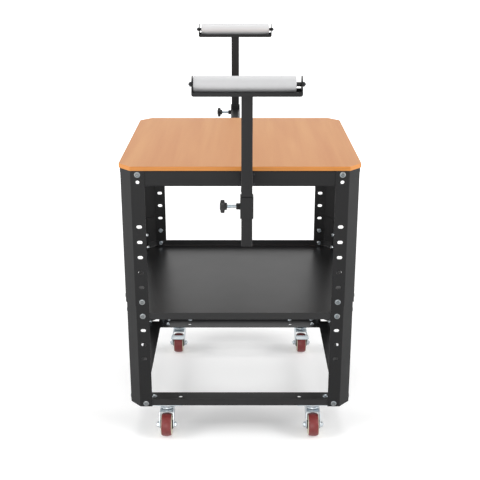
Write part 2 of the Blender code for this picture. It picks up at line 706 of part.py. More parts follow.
def make_fork(name, braked, material, parent):
    outline = fork_outline(braked)
    fork = place(name, prism(outline, "X", -FORK_OUTSIDE, FORK_OUTSIDE), material, parent["at"], parent)
    front, back = -CASTER_TRAIL - WHEEL_RADIUS - PEDAL_PIVOT_OUT, FORK_CROWN_REACH + OVERRUN
    under, over = FORK_TOP - FORK_SHEET, FORK_TOP + OVERRUN
    gap = [
        (front, -OVERRUN), (back, -OVERRUN), (back, under), (-FORK_CROWN_REACH, under),
        (-FORK_CROWN_REACH, over), (front, over),
    ]
    combine(fork, prism(gap, "X", -FORK_INSIDE, FORK_INSIDE), "DIFFERENCE")
    bores = bmesh.new()
    side = FORK_OUTSIDE + OVERRUN
    axle_hole = circle((-CASTER_TRAIL, WHEEL_RADIUS), WHEEL_AXLE_RADIUS + FIT, SMALL_SIDES)
    add_prism(bores, axle_hole, "X", -side, side)
    crown_low = FORK_TOP - FORK_SHEET - OVERRUN
    add_prism(bores, circle((0, 0), KINGPIN_RADIUS + FIT, SMALL_SIDES), "Z", crown_low, FORK_TOP + OVERRUN)
    if braked:
        pin = (-CASTER_TRAIL - PEDAL_PIVOT_OUT, WHEEL_RADIUS + PEDAL_PIVOT_RISE)
        add_prism(bores, circle(pin, PEDAL_PIN_RADIUS + FIT, SMALL_SIDES), "X", -side, side)
    combine(fork, close_mesh(bores, False), "DIFFERENCE")


def wheel_profile():
    """A crowned tread round a core that is dished between the rim and the hub."""
    half = WHEEL_WIDTH / 2
    bore = WHEEL_AXLE_RADIUS + AXLE_CLEARANCE
    right = [
        (half, bore), (half, HUB_RADIUS), (half - CORE_DISH, HUB_RADIUS), (half - CORE_DISH, CORE_RADIUS),
        (half - TREAD_CROWN / 2, CORE_RADIUS), (half - TREAD_CROWN, WHEEL_RADIUS - TREAD_CROWN / 2),
        (half - 3 * TREAD_CROWN, WHEEL_RADIUS),
    ]
    left = [(-along, radius) for along, radius in reversed(right)]
    return [(along, radius, "round") for along, radius in right + left]


def make_pedal(name, material, at, parent):
    """A brake pedal: a boss on a pin between the fork's arms, a neck and a wide foot plate."""
    inside = FORK_INSIDE - PEDAL_SIDE_GAP
    boss = arc((0, 0), PEDAL_BOSS_RADIUS, -90, 90, ARC_STEPS)
    neck_top = (-PEDAL_NECK, PEDAL_LIFT)
    lever = boss + [neck_top, (-PEDAL_NECK - PEDAL_SHEET, PEDAL_LIFT - PEDAL_SHEET)]
    lever += [(-PEDAL_BOSS_RADIUS, -PEDAL_BOSS_RADIUS / 2)]
    pedal = place(name, prism(lever, "X", -inside, inside), material, at, parent)
    plate = rectangle(-PEDAL_NECK - PEDAL_LENGTH, -PEDAL_NECK + PEDAL_SHEET / 2,
                      PEDAL_LIFT - PEDAL_SHEET / 2, PEDAL_LIFT + PEDAL_SHEET / 2)
    combine(pedal, prism(plate, "X", -PEDAL_WIDTH / 2, PEDAL_WIDTH / 2), "UNION")
    pin = prism(circle((0, 0), PEDAL_PIN_RADIUS, SMALL_SIDES), "X", -FORK_OUTSIDE, FORK_OUTSIDE)
    combine(pedal, pin, "UNION")


def make_casters(finishes):
    for side, side_name in ((-1, "left"), (1, "right")):
        for end, end_name in ((-1, "front"), (1, "back")):
            name = end_name + "_" + side_name + "_caster"
            braked = end > 0
            at = Vector((side * CASTER_X, end * CASTER_Y, 0))
            swivel = pivot(name + "_swivel", at)
            make_caster_plate(name + "_plate", finishes["zinc"], at)
            make_fork(name + "_fork", braked, finishes["zinc"], swivel)
            hub = at + Vector((0, -CASTER_TRAIL, WHEEL_RADIUS))
            wheel = turned(wheel_profile(), "X", ROUND_SIDES, True)
            place(name + "_wheel", wheel, finishes["tread"], hub, swivel)
            axle = nutted_axle(FORK_OUTSIDE, WHEEL_AXLE_RADIUS, WHEEL_NUT_FLATS, WHEEL_NUT_THICK, AXLE_PROUD)
            place(name + "_axle", axle, finishes["zinc"], hub, swivel)
            if braked:
                pin_at = hub + Vector((0, -PEDAL_PIVOT_OUT, PEDAL_PIVOT_RISE))
                make_pedal(name + "_brake_pedal", finishes["zinc"], pin_at, swivel)


def main():
    clear_objects()
    finishes = {
        "wood": finish("beech_laminate", "#D8A67B", 0.5, 0.0),
        "steel": finish("black_powder_coat", "#2E2E2F", 0.45, 0.0),
        "plastic": finish("black_plastic", "#1C1C1D", 0.4, 0.0),
        "zinc": finish("zinc_plate", "#B9BEC4", 0.35, 1.0),
        "roller": finish("galvanised_tube", "#C9CACB", 0.3, 1.0),
        "tread": finish("red_polyurethane", "#7A2A2A", 0.35, 0.0),
    }
    make_table(finishes["wood"])
    make_legs(finishes["steel"])
    make_top_rails(finishes["steel"])
    make_shelf(finishes["steel"])
    make_base_rails(finishes["steel"])
    make_roller_support("front", -1, FRONT_ROLLER_SHIFT, finishes)
    make_roller_support("back", 1, 0, finishes)
    make_casters(finishes)


main()
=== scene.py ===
# Rolling tool stand: the finished look of every piece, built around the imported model.
# Metres, +Z up. X runs left to right, Y runs front to back, and the floor is at Z = 0.
import json
import math

import bmesh
import bpy
from bpy.props import FloatProperty, FloatVectorProperty, PointerProperty
from bpy.types import Operator, Panel, PropertyGroup
from mathutils import Matrix, Vector


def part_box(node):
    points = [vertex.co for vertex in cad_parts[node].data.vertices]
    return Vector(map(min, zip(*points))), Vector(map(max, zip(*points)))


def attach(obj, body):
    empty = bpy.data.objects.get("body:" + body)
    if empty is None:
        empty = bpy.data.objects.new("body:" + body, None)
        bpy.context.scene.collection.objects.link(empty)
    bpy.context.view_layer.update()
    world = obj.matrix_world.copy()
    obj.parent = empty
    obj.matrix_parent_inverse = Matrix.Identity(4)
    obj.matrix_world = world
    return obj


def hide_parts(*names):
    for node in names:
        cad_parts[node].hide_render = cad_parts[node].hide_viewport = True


bl_info = {
    "name": "Rolling tool stand",
    "version": (1, 0, 0),
    "blender": (4, 5, 0),
    "location": "View3D > Sidebar > Tool Stand",
    "description": "Builds the finished pieces of a rolling tool stand around its solid model",
    "category": "Object",
}

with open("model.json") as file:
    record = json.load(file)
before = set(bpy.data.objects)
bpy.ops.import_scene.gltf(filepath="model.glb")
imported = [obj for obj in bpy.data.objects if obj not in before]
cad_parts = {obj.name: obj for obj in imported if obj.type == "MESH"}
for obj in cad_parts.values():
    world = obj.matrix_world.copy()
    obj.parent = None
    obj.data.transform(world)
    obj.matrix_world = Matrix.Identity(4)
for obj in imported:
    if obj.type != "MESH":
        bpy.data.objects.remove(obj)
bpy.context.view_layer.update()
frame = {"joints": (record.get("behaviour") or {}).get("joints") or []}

SIDES = ((-1, "left"), (1, "right"))
ENDS = ((-1, "front"), (1, "back"))
RAIL_PLACES = ((0, -1, "front"), (0, 1, "back"), (-1, 0, "left"), (1, 0, "right"))
MM = 0.001
SLIVER = 0.000003

# Degrees of bend: edges over the first are eased, and edges over the others stay sharp in the shading
EASE_ANGLE = 28
SMOOTH_ANGLE = 35
THREAD_ANGLE = 25
BOLT_ANGLE = 30
GUARD_ANGLE = 40
MOULDED_ANGLE = 50
WELD_ANGLE = 60

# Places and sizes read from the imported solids
LEG_LOW, LEG_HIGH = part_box("front_left_leg_upper")
LOWER_LOW, LOWER_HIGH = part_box("front_left_leg_lower")
HALF_WIDTH = -LEG_LOW.x
HALF_DEPTH = -LEG_LOW.y
FRAME_TOP = LEG_HIGH.z
LEG_FLANGE = LEG_HIGH.x - LEG_LOW.x
LEG_STEP = LOWER_LOW.x - LEG_LOW.x
BASE_BOTTOM = LOWER_LOW.z

# Gap between seated pieces, and how far a cutter reaches past what it cuts
FIT = 0.0003
OVERRUN = 0.003

# Sizes of the tabletop and the folded sheet that the boxes don't give
LEG_SHEET = 0.002
LEG_CHAMFER = 0.030
TABLE_CHAMFER = 0.032
HOLE_INSET = 0.047
TOP_HOLE_DROP = 0.031
TOP_HOLE_RADIUS = 0.0048
FIRST_SLOT_DROP = 0.1505
SLOT_PITCH = 0.0422
SLOT_LENGTH = 0.014
SLOT_HEIGHT = 0.009
BOLTED_PLACES = (5, 6)
TOP_BOLT_DROP = 0.011
BASE_BOLT_RISE = 0.009
RAIL_SHEET = 0.002
RAIL_BOTTOM_FLANGE = 0.014
SHELF_SHEET = 0.0015
BASE_SHEET = 0.002
GUSSET_REACH = 0.009

# Folds and edges of pressings and mouldings
PRESSED_BEND = 0.0030
PRESSED_EDGE = 0.0006

# Square tubes, their sleeves, the roller brackets and the rollers
GUIDE_SIZE = 0.030
GUIDE_WALL = 0.002
ARM_WALL = 0.0015
SLEEVE_WALL = 0.002
POST_WALL = 0.0015
TUBE_CORNER = 0.0028
NUT_FLATS = 0.013
NUT_THICK = 0.009
NUT_EASE = 0.0007
GROOVE_OVERRUN = 0.0001
WELD_WIDTH = 0.0030
WELD_SPACING = 0.0017
BRACKET_SHEET = 0.002
BRACKET_LIP = 0.009
EAR_RADIUS = 0.019
ROLLER_WALL = 0.0015
ROLLER_EASE = 0.0012
ROLLER_AXLE_RADIUS = 0.003
ROLLER_AXLE_BORE = 0.0033
ROLLER_NUT_FLATS = 0.010
ROLLER_NUT_BORE = 0.0026
SPACER_EASE = 0.0003
AXLE_PROUD = 0.002
DISC_EDGE = 0.0003
DISC_RIM, DISC_FACE, DISC_DISH, DISC_DEEP = 0.0004, 0.0003, 0.0016, 0.0060
DISC_LIP, DISC_SLOPE = 0.0012, 0.0022
DISC_BOSS_RADIUS = 0.0085
DISC_BORE = 0.0034

# Knobs
KNOB_RADIUS = 0.0155
KNOB_THICK = 0.0095
KNOB_EDGE = 0.0025
KNOB_CROWN = 0.0015
KNOB_CROWN_RADIUS = 0.009
KNOB_LOBES = 7
KNOB_LOBE_SHARE = 0.17
KNOB_CAP_DOME = 0.0018
KNOB_CAP_SLOPE = 0.0006
KNOB_CAP_LIP = 0.0004
KNOB_FACE_LOBE_SHARE = 0.02
KNOB_BACK_LOBE_SHARE = 0.03
KNOB_HUB_FOOT = 0.0008
KNOB_HUB_FLARE = 0.0002
KNOB_HUB_EASE = 0.0006
KNOB_HUB_DRAFT = 0.0005
KNOB_HUB_RADIUS = 0.0085
KNOB_HUB_LENGTH = 0.0055
SCREW_RADIUS = 0.004
THREAD_DEPTH = 0.0006
THREAD_RIDGE_SHARE = 0.48
TIP_EASE = 0.0005

# Casters
PLATE_THICK = 0.0025
PLATE_CORNER = 0.006
PLATE_HOLE_LENGTHWAYS = 0.073
PLATE_HOLE_CROSSWAYS = 0.032
PLATE_HOLE_RADIUS = 0.0042
RAIL_SLOT = 0.0120
PLATE_SLOT = 0.0170
RACE_RADIUS = 0.021
RACE_NECK_RADIUS = 0.018
RACE_HEIGHT = 0.0165
KINGPIN_RADIUS = 0.005
PLATE_EDGE = 0.0004
FORK_SHEET = 0.0025
FORK_HEEL_DROP = 0.008
FORK_NOSE_RADIUS = 0.010
HUB_RADIUS = 0.012
CORE_REACH = 0.0285
CORE_DISH = 0.0040
CORE_FLANGE = 0.0016
CORE_LIP = 0.0006
CORE_RIM = 0.0050
CORE_RIM_FACE = 0.0035
TREAD_SEAT = 0.0262
TREAD_SHOULDER = 0.0042
TREAD_CROWN = 0.0010
AXLE_RADIUS = 0.004
AXLE_CORE = 0.0036
WHEEL_NUT_FLATS = 0.013
WASHER_THICK = 0.0012
WASHER_RADIUS = 0.0082
WASHER_EASE = 0.0004
AXLE_THREAD = 0.0025
GUARD_RADIUS = 0.0125
GUARD_BORE = 0.0042
GUARD_EASE = 0.0005
GUARD_SLOPE = 0.003
PEDAL_PIN_RADIUS = 0.0025
PEDAL_BOSS_RADIUS = 0.005
PEDAL_SHEET = 0.0025
PEDAL_CORNER = 0.005
PEDAL_NECK = 0.008
PEDAL_EAR = 0.006
PEDAL_BOSS_WIDTH = 0.002

# Screws of the guides' flanges
GUIDE_SCREW_OUT = 0.0190
GUIDE_SCREW_HEIGHTS = (0.757, 0.731)

# Points on rounds
ROUND_SIDES = 64
SMALL_SIDES = 24
CORNER_STEPS = 5


def srgb_to_linear(value):
    if value <= 0.04045:
        return value / 12.92
    return ((value + 0.055) / 1.055) ** 2.4


def linear_colour(colour):
    """Linear red, green and blue from an sRGB hex colour."""
    return tuple(srgb_to_linear(int(colour[i:i + 2], 16) / 255) for i in (1, 3, 5))


def length_input(name, description, default):
    return FloatProperty(name=name, description=description, default=default, min=0.0, unit="LENGTH")


def colour_input(name, description, default):
    return FloatVectorProperty(
        name=name, description=description, default=linear_colour(default), subtype="COLOR", size=3,
        min=0.0, max=1.0)


class StandSizes(PropertyGroup):
    """Small sizes that the finished pieces add to the solids."""

    bend: length_input("Bend radius", "Inner radius of a fold in the sheet steel", 0.0020)
    edge: length_input("Sheet edge", "Rounding of a cut sheet edge under its coating", 0.0004)
    board_edge: length_input("Board edge", "Rounding of the tabletop's edges", 0.0009)
    band: length_input("Edge band", "Thickness of the band glued round the tabletop", 0.0008)
    bolt_reach: length_input("Bolt reach", "Radius of a leg bolt's flange", 0.0076)
    bolt_head: length_input("Bolt head", "Height of a leg bolt's head over the leg", 0.0028)
    thread_pitch: length_input("Thread pitch", "Pitch of the thread on knob screws and axles", 0.00125)


class StandColours(PropertyGroup):
    """Colours of the finishes."""

    beech: colour_input("Beech", "Laminate on the tabletop", "#C69265")
    beech_dark: colour_input("Beech grain", "Darker grain in the laminate", "#BC845A")
    band: colour_input("Edge band", "Band round the tabletop's edge", "#C67D2C")
    coat: colour_input("Powder coat", "Black coating of the steel", "#131314")
    plastic: colour_input("Nylon", "Knobs, plugs and spacers", "#101011")
    zinc: colour_input("Zinc", "Plated casters", "#C6CACC")
    bolt: colour_input("Bolt zinc", "Barrel-plated bolts and nuts", "#8C8E8E")
    tube: colour_input("Roller", "Zinc skin of the rollers", "#C9C9CA")
    tread: colour_input("Tread", "Polyurethane tyres", "#7C2B2A")
    core: colour_input("Wheel core", "Moulded cores of the wheels", "#D8D0BC")
    floor: colour_input("Floor", "Pale floor and backdrop", "#F4F4F4")


def sizes():
    return bpy.context.scene.tool_stand_sizes


def colours():
    return bpy.context.scene.tool_stand_colours


# Nodes and materials

def add_node(tree, kind, settings=None, links=None):
    """Adds a node, sets its properties and socket values, and links nodes or outputs into its inputs."""
    node = tree.nodes.new(kind)
    for name, value in (settings or {}).items():
        if isinstance(name, int) or name in node.inputs:
            node.inputs[name].default_value = value
        else:
            setattr(node, name, value)
    for name, sources in (links or {}).items():
        for source in sources if isinstance(sources, tuple) else (sources,):
            output = source.outputs[0] if isinstance(source, bpy.types.Node) else source
            tree.links.new(output, node.inputs[name])
    return node


def shade(colour, *shares):
    """A colour with each of its parts turned down, or up, by a share."""
    return tuple(min(1.0, part * share) for part, share in zip(colour, shares * 3))


def new_finish(name, colour, roughness, metallic=0.0, reflection=0.5, ground=None, grains=(), tints=(),
               gloss=None, bump=None):
    """A material from its shader's values and its patterns.

    A grain is a cell in millimetres, along X, Y and Z, and its texture's settings. The rest name a grain by
    its place in the list. A tint lays a share of a colour where its grain passes from low to high, over the
    ground or over the tint before. Gloss is the roughness at its grain's two ends, and bump is a strength and
    a depth in millimetres.
    """
    made = bpy.data.materials.new(name)
    made.use_nodes = True
    tree = made.node_tree
    shader = tree.nodes["Principled BSDF"]
    base = shader.inputs["Base Color"]
    base.default_value = (*colour, 1)
    shader.inputs["Roughness"].default_value = roughness
    shader.inputs["Metallic"].default_value = metallic
    shader.inputs["Specular IOR Level"].default_value = reflection
    fields = []
    for cell, kind, settings in grains:
        place = add_node(tree, "ShaderNodeTexCoord")
        space = add_node(tree, "ShaderNodeMapping", {"Scale": tuple(1 / (size * MM) for size in cell)},
                         {"Vector": place.outputs["Object"]})
        fields.append(add_node(tree, "ShaderNodeTex" + kind, {"Scale": 1.0, **settings}, {"Vector": space}))
    for grain, low, high, share, second in tints:
        tone = add_node(tree, "ShaderNodeMapRange", {"From Min": low, "From Max": high, "To Max": share},
                        {"Value": fields[grain]})
        mixed = add_node(tree, "ShaderNodeMix",
                         {"data_type": "RGBA", 6: (*(ground or colour), 1), 7: (*second, 1)}, {0: tone})
        if base.is_linked:
            tree.links.new(base.links[0].from_socket, mixed.inputs[6])
        tree.links.new(mixed.outputs[2], base)
    if gloss:
        grain, low, high = gloss
        level = add_node(tree, "ShaderNodeMapRange", {"To Min": low, "To Max": high},
                         {"Value": fields[grain]})
        tree.links.new(level.outputs[0], shader.inputs["Roughness"])
    if bump:
        grain, strength, depth = bump
        dents = add_node(tree, "ShaderNodeBump", {"Strength": strength, "Distance": depth * MM},
                         {"Height": fields[grain]})
        tree.links.new(dents.outputs[0], shader.inputs["Normal"])
    return made


def beech_laminate():
    """Printed beech melamine: a satin sheet with long streaks along the board and short dark flecks."""
    dark = colours().beech_dark
    return new_finish(
        "beech_laminate", colours().beech, 0.52, reflection=0.2,
        grains=(((44, 640, 44), "Noise", {"Detail": 4.0, "Distortion": 0.25}),
                ((1.6, 16, 1.6), "Noise", {"Detail": 2.0})),
        tints=((0, 0.3, 0.7, 1.0, dark), (1, 0.60, 0.76, 0.22, shade(dark, 0.66))), bump=(1, 0.12, 0.05))


def edge_band():
    """Melamine edging: an orange beech print, in thin lengthwise streaks of a lighter and a darker tone."""
    band = colours().band
    return new_finish(
        "melamine_edge_band", band, 0.4, ground=shade(band, 1.12),
        grains=(((60, 60, 1.1), "Noise", {"Detail": 3.0}),), tints=((0, 0.3, 0.75, 1.0, shade(band, 0.86)),))


def coat_finish(name, low_gloss, high_gloss, reflection):
    """A black polyester powder coat with its orange peel, between two values of roughness."""
    return new_finish(
        name, colours().coat, high_gloss, reflection=reflection,
        grains=(((1.4, 1.4, 1.4), "Noise", {"Detail": 2.0}), ((70, 70, 70), "Noise", {"Detail": 3.0})),
        gloss=(1, low_gloss, high_gloss), bump=(0, 0.22, 0.06))


def powder_coat():
    """Powder coat on folded steel: satin, with the faint orange peel that the melted powder leaves."""
    return coat_finish("black_powder_coat", 0.40, 0.50, 0.22)


def levelled_coat():
    """Powder coat that levelled out on the shelf and base rails: smoother, so it mirrors the pale room."""
    return coat_finish("levelled_black_powder_coat", 0.32, 0.38, 0.36)


def moulded_nylon():
    """Glass-filled black nylon: moulded, with a fine spark-eroded grain that dulls its shine."""
    return new_finish(
        "moulded_black_nylon", colours().plastic, 0.45, reflection=0.35,
        grains=(((0.6, 0.6, 0.6), "Voronoi", {}),), bump=(0, 0.25, 0.05))


def zinc_finish(name, colour, low_gloss, high_gloss):
    """Zinc plating between two values of roughness, with darker bluer clouds of painted reflection."""
    # Painted reflection: the darker, bluer clouds stand in for the dark steel that the zinc mirrors
    return new_finish(
        name, colour, high_gloss, 1.0, grains=(((9, 9, 9), "Noise", {"Detail": 4.0}),),
        tints=((0, 0.35, 0.7, 1.0, shade(colour, 0.84, 0.92, 0.98)),), gloss=(0, low_gloss, high_gloss))


def zinc_plate():
    """Bright zinc on the pressed caster parts: bluish, and smooth enough to mirror what stands near."""
    return zinc_finish("bright_zinc_plate", colours().zinc, 0.22, 0.38)


def barrel_zinc():
    """Barrel-plated zinc on the small fasteners: greyer and duller, since they tumble on each other."""
    return zinc_finish("barrel_zinc_plate", colours().bolt, 0.34, 0.46)


def rolled_tube():
    """Phosphated zinc tube: fine crystals scatter light like matt paint, with faint rings from turning."""
    return new_finish(
        "phosphated_zinc_tube", colours().tube, 0.6, 0.12, 0.25,
        grains=(((0.9, 60, 60), "Noise", {"Detail": 3.0}),), gloss=(0, 0.56, 0.66), bump=(0, 0.08, 0.02))


def black_oxide():
    """Blackened steel: small nuts and threads, oily dark with a metal glint."""
    return new_finish(
        "black_oxide_steel", linear_colour("#3A3B3D"), 0.38, 1.0,
        grains=(((4, 4, 4), "Noise", {"Detail": 2.0}),), gloss=(0, 0.28, 0.5))


def polyurethane():
    """Cast polyurethane tyre: a deep satin red, slightly mottled, with a dusty running surface."""
    return new_finish(
        "cast_red_polyurethane", colours().tread, 0.4, grains=(((7, 7, 7), "Noise", {"Detail": 5.0}),),
        tints=((0, 0.3, 0.7, 1.0, shade(colours().tread, 0.8)),), gloss=(0, 0.32, 0.5))


def core_polypropylene():
    """Cream polypropylene: the moulded wheel core, waxy and plain."""
    return new_finish(
        "cream_polypropylene", colours().core, 0.48, grains=(((5, 5, 5), "Noise", {"Detail": 3.0}),),
        tints=((0, 0.0, 1.0, 1.0, shade(colours().core, 0.9)),))


def seen_plainly(tree):
    """A node that gives 1 to rays from the camera, from gloss or through glass, and 0 to all others."""
    rays = add_node(tree, "ShaderNodeLightPath")
    seen = add_node(tree, "ShaderNodeMath", {"operation": "MAXIMUM"},
                    {0: rays.outputs["Is Camera Ray"], 1: rays.outputs["Is Glossy Ray"]})
    return add_node(tree, "ShaderNodeMath", {"operation": "MAXIMUM"},
                    {0: seen, 1: rays.outputs["Is Transmission Ray"]})


def pale_floor():
    """Matt studio paper: white where the eye looks past the object, and plain where its shadow lies."""
    made = new_finish("pale_studio_paper", colours().floor, 0.95)
    tree = made.node_tree
    shader = tree.nodes["Principled BSDF"]
    place = add_node(tree, "ShaderNodeTexCoord")
    away = add_node(tree, "ShaderNodeVectorMath", {"operation": "LENGTH"}, {0: place.outputs["Object"]})
    level = add_node(tree, "ShaderNodeMapRange",
                     {"interpolation_type": "SMOOTHSTEP", "From Min": 0.9, "From Max": 3.2, "To Min": 0.22,
                      "To Max": 1.0}, {"Value": away.outputs["Value"]})
    glow = add_node(tree, "ShaderNodeMath", {"operation": "MULTIPLY"}, {0: seen_plainly(tree), 1: level})
    shader.inputs["Emission Color"].default_value = (1, 1, 1, 1)
    tree.links.new(glow.outputs[0], shader.inputs["Emission Strength"])
    return made


FINISHES = {
    "beech": beech_laminate, "band": edge_band, "coat": powder_coat, "pan": levelled_coat,
    "nylon": moulded_nylon, "zinc": zinc_plate, "bolt": barrel_zinc, "tube": rolled_tube,
    "oxide": black_oxide, "tread": polyurethane, "core": core_polypropylene, "floor": pale_floor,
}
made_finishes = {}


def finish(name):
    """The material of a finish, made the first time that a piece asks for it."""
    if name not in made_finishes:
        made_finishes[name] = FINISHES[name]()
    return made_finishes[name]


# Outlines

def arc(centre, radius, start, stop, steps):
    """Points on an arc, from one angle to another in degrees."""
    angles = [math.radians(start + (stop - start) * i / steps) for i in range(steps + 1)]
    return [Vector((centre[0] + radius * math.cos(a), centre[1] + radius * math.sin(a))) for a in angles]


def circle(centre, radius, sides):
    return arc(centre, radius, 0, 360, sides)[:-1]


def slot_outline(centre, length, turn):
    """A round-ended slot for a caster bolt, its length turned by an angle in degrees."""
    reach = length / 2 - PLATE_HOLE_RADIUS
    way = Vector((math.cos(math.radians(turn)), math.sin(math.radians(turn)))) * reach
    centre = Vector(centre)
    return (arc(centre + way, PLATE_HOLE_RADIUS, turn - 90, turn + 90, 12)
            + arc(centre - way, PLATE_HOLE_RADIUS, turn + 90, turn + 270, 12))


def rectangle(x_low, x_high, y_low, y_high):
    return [Vector(p) for p in ((x_low, y_low), (x_high, y_low), (x_high, y_high), (x_low, y_high))]


def square(size):
    return rectangle(-size / 2, size / 2, -size / 2, size / 2)


def fillet(before, corner, after, radius, steps):
    """The arc that rounds one corner of a path, and the arc's centre."""
    to_before = (before - corner).normalized()
    to_after = (after - corner).normalized()
    half = to_before.angle(to_after) / 2
    centre = corner + (to_before + to_after).normalized() * (radius / math.sin(half))
    start = corner + to_before * (radius / math.tan(half)) - centre
    turned = (math.pi - 2 * half) * (1 if to_after.cross(to_before) > 0 else -1)
    return [centre + Matrix.Rotation(turned * i / steps, 2) @ start for i in range(steps + 1)], centre


def rounded_outline(points, radius, steps=CORNER_STEPS):
    """A closed outline with every corner rounded."""
    points = [Vector(p) for p in points]
    outline = []
    for i, corner in enumerate(points):
        outline += fillet(points[i - 1], corner, points[(i + 1) % len(points)], radius, steps)[0]
    return outline


def folded_sheet(points, sheet, bend):
    """A folded sheet's section from the corners of its right-hand face, with the sheet to the path's left."""
    points = [Vector(p) for p in points]
    ways = [(b - a).normalized() for a, b in zip(points, points[1:])]
    lefts = [Vector((-way.y, way.x)) for way in ways]
    face = [points[0]]
    back = [points[0] + lefts[0] * sheet]
    for i in range(1, len(points) - 1):
        near, far = (bend + sheet, bend) if ways[i - 1].cross(ways[i]) > 0 else (bend, bend + sheet)
        round_face, centre = fillet(points[i - 1], points[i], points[i + 1], near, CORNER_STEPS)
        face += round_face
        back += [centre + (p - centre) * (far / near) for p in round_face]
    face.append(points[-1])
    back.append(points[-1] + lefts[-1] * sheet)
    return face + list(reversed(back))


def square_outlines(size, wall):
    """The outer and inner outlines of a square tube with rounded corners."""
    return (rounded_outline(square(size), TUBE_CORNER),
            rounded_outline(square(size - 2 * wall), TUBE_CORNER - wall))


# Shapes

def point_on(axis, along, first, second):
    """A point from its place along an axis and its two places across it."""
    places = {"X": (along, first, second), "Y": (first, along, second), "Z": (first, second, along)}
    return Vector(places[axis])


def add_band(work, near, far):
    """Faces between two rings, either of which may be a single point."""
    count = max(len(near), len(far))
    for i in range(count):
        j = (i + 1) % count
        corners = [near[i % len(near)], near[j % len(near)], far[j % len(far)], far[i % len(far)]]
        work.faces.new(list(dict.fromkeys(corners)))


def add_prism(work, outline, axis, low, high, at=(0, 0, 0)):
    rings = [[work.verts.new(point_on(axis, end, *p) + Vector(at)) for p in outline] for end in (low, high)]
    work.faces.new(rings[0])
    work.faces.new(list(reversed(rings[1])))
    add_band(work, rings[0], rings[1])


def add_tube(work, outline, inner, axis, low, high, at=(0, 0, 0)):
    """A tube with an outer and an inner outline of as many points, open at both ends."""
    rings = []
    for end, points in ((low, outline), (high, outline), (high, inner), (low, inner)):
        rings.append([work.verts.new(point_on(axis, end, *p) + Vector(at)) for p in points])
    for i in range(len(rings)):
        add_band(work, rings[i - 1], rings[i])


def reach_of(radius, form, turn):
    """A ring's reach at one share of a turn: round, six-sided across its flats, or lobed by a share."""
    if form == "round":
        return radius
    if form == "hex":
        return radius / math.cos(((turn * 6) % 1 - 0.5) * math.pi / 3)
    return radius * (1 - form * (1 - math.cos(turn * math.tau * KNOB_LOBES)) / 2)


def add_lathe(work, profile, axis, at, sides=SMALL_SIDES):
    """A turned body from steps along the axis. It starts and ends on the axis, or closes on itself."""
    rings = []
    for along, radius, *form in profile:
        ring = []
        for i in range(sides if radius else 1):
            reach = reach_of(radius, form[0] if form else "round", i / sides)
            angle = math.tau * i / sides
            across = (reach * math.cos(angle), reach * math.sin(angle))
            ring.append(work.verts.new(point_on(axis, along, *across) + Vector(at)))
        rings.append(ring)
    pairs = list(zip(rings, rings[1:]))
    if len(rings[0]) > 1:
        pairs.append((rings[-1], rings[0]))
    for near, far in pairs:
        add_band(work, near, far)


def add_path(work, points):
    """Loose edges round a closed path, for a weld to follow."""
    verts = [work.verts.new(p) for p in points]
    for near, far in zip(verts, verts[1:] + verts[:1]):
        work.edges.new((near, far))


def nut_profile(low, high, flats, bore):
    """A hexagon nut with both its faces chamfered."""
    half = flats / 2
    return [(low, bore), (low, half - NUT_EASE / 2), (low + NUT_EASE, half, "hex"),
            (high - NUT_EASE, half, "hex"), (high, half - NUT_EASE / 2), (high, bore)]


def mirrored(middle, right):
    """A lathe's profile from its right half."""
    return ([(middle + along, reach) for along, reach in right]
            + [(middle - along, reach) for along, reach in reversed(right)])


def link_object(name, mesh):
    made = bpy.data.objects.new(name, mesh)
    bpy.context.scene.collection.objects.link(made)
    return made


def new_mesh(name, work):
    mesh = bpy.data.meshes.new(name)
    work.to_mesh(mesh)
    work.free()
    return mesh


def new_object(name, *shapes):
    """An object from shapes, each the function that adds it and that function's values."""
    work = bmesh.new()
    for add, *values in shapes:
        add(work, *values)
    bmesh.ops.recalc_face_normals(work, faces=work.faces)
    return link_object(name, new_mesh(name, work))


def bake(piece):
    """Turns a piece's modifiers into its plain mesh."""
    bpy.context.view_layer.update()
    graph = bpy.context.evaluated_depsgraph_get()
    mesh = bpy.data.meshes.new_from_object(piece.evaluated_get(graph), preserve_all_data_layers=True,
                                           depsgraph=graph)
    piece.modifiers.clear()
    old = piece.data
    piece.data = mesh
    bpy.data.meshes.remove(old)
    mesh.name = piece.name


def combine(piece, tool, operation="DIFFERENCE"):
    """Cuts, joins or trims a piece with a tool, which is then removed."""
    change = piece.modifiers.new("combine", "BOOLEAN")
    change.operation = operation
    change.solver = "EXACT"
    change.object = tool
    bake(piece)
    bpy.data.objects.remove(tool, do_unlink=True)


def add_mesh_of(work, other):
    """Adds another object's mesh, and removes that object."""
    work.from_mesh(other.data)
    bpy.data.objects.remove(other, do_unlink=True)


def drop_slivers(piece):
    """Closes up the faces without area that cuts and bevels leave."""
    work = bmesh.new()
    work.from_mesh(piece.data)
    bmesh.ops.remove_doubles(work, verts=work.verts, dist=SLIVER)
    bmesh.ops.dissolve_degenerate(work, edges=work.edges, dist=SLIVER)
    work.to_mesh(piece.data)
    work.free()


def dress(piece, body, finish_name, nodes=(), edge=0.0, smooth=SMOOTH_ANGLE):
    """Eases a piece's edges, gives it its finish and sets it on its body in place of its solids."""
    drop_slivers(piece)
    if edge:
        ease = piece.modifiers.new("ease", "BEVEL")
        ease.width = edge
        ease.segments = 2
        ease.limit_method = "ANGLE"
        ease.angle_limit = math.radians(EASE_ANGLE)
        ease.use_clamp_overlap = True
        bake(piece)
        drop_slivers(piece)
    piece.data.shade_smooth()
    piece.data.set_sharp_from_angle(angle=math.radians(smooth))
    if edge:
        weigh = piece.modifiers.new("weigh", "WEIGHTED_NORMAL")
        weigh.keep_sharp = True
        bake(piece)
    piece.data.materials.clear()
    piece.data.materials.append(finish(finish_name))
    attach(piece, body)
    if nodes:
        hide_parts(*nodes)


def box(node):
    """A solid's low and high corners and its centre."""
    low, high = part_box(node)
    return low, high, (low + high) / 2


# Geometry Nodes

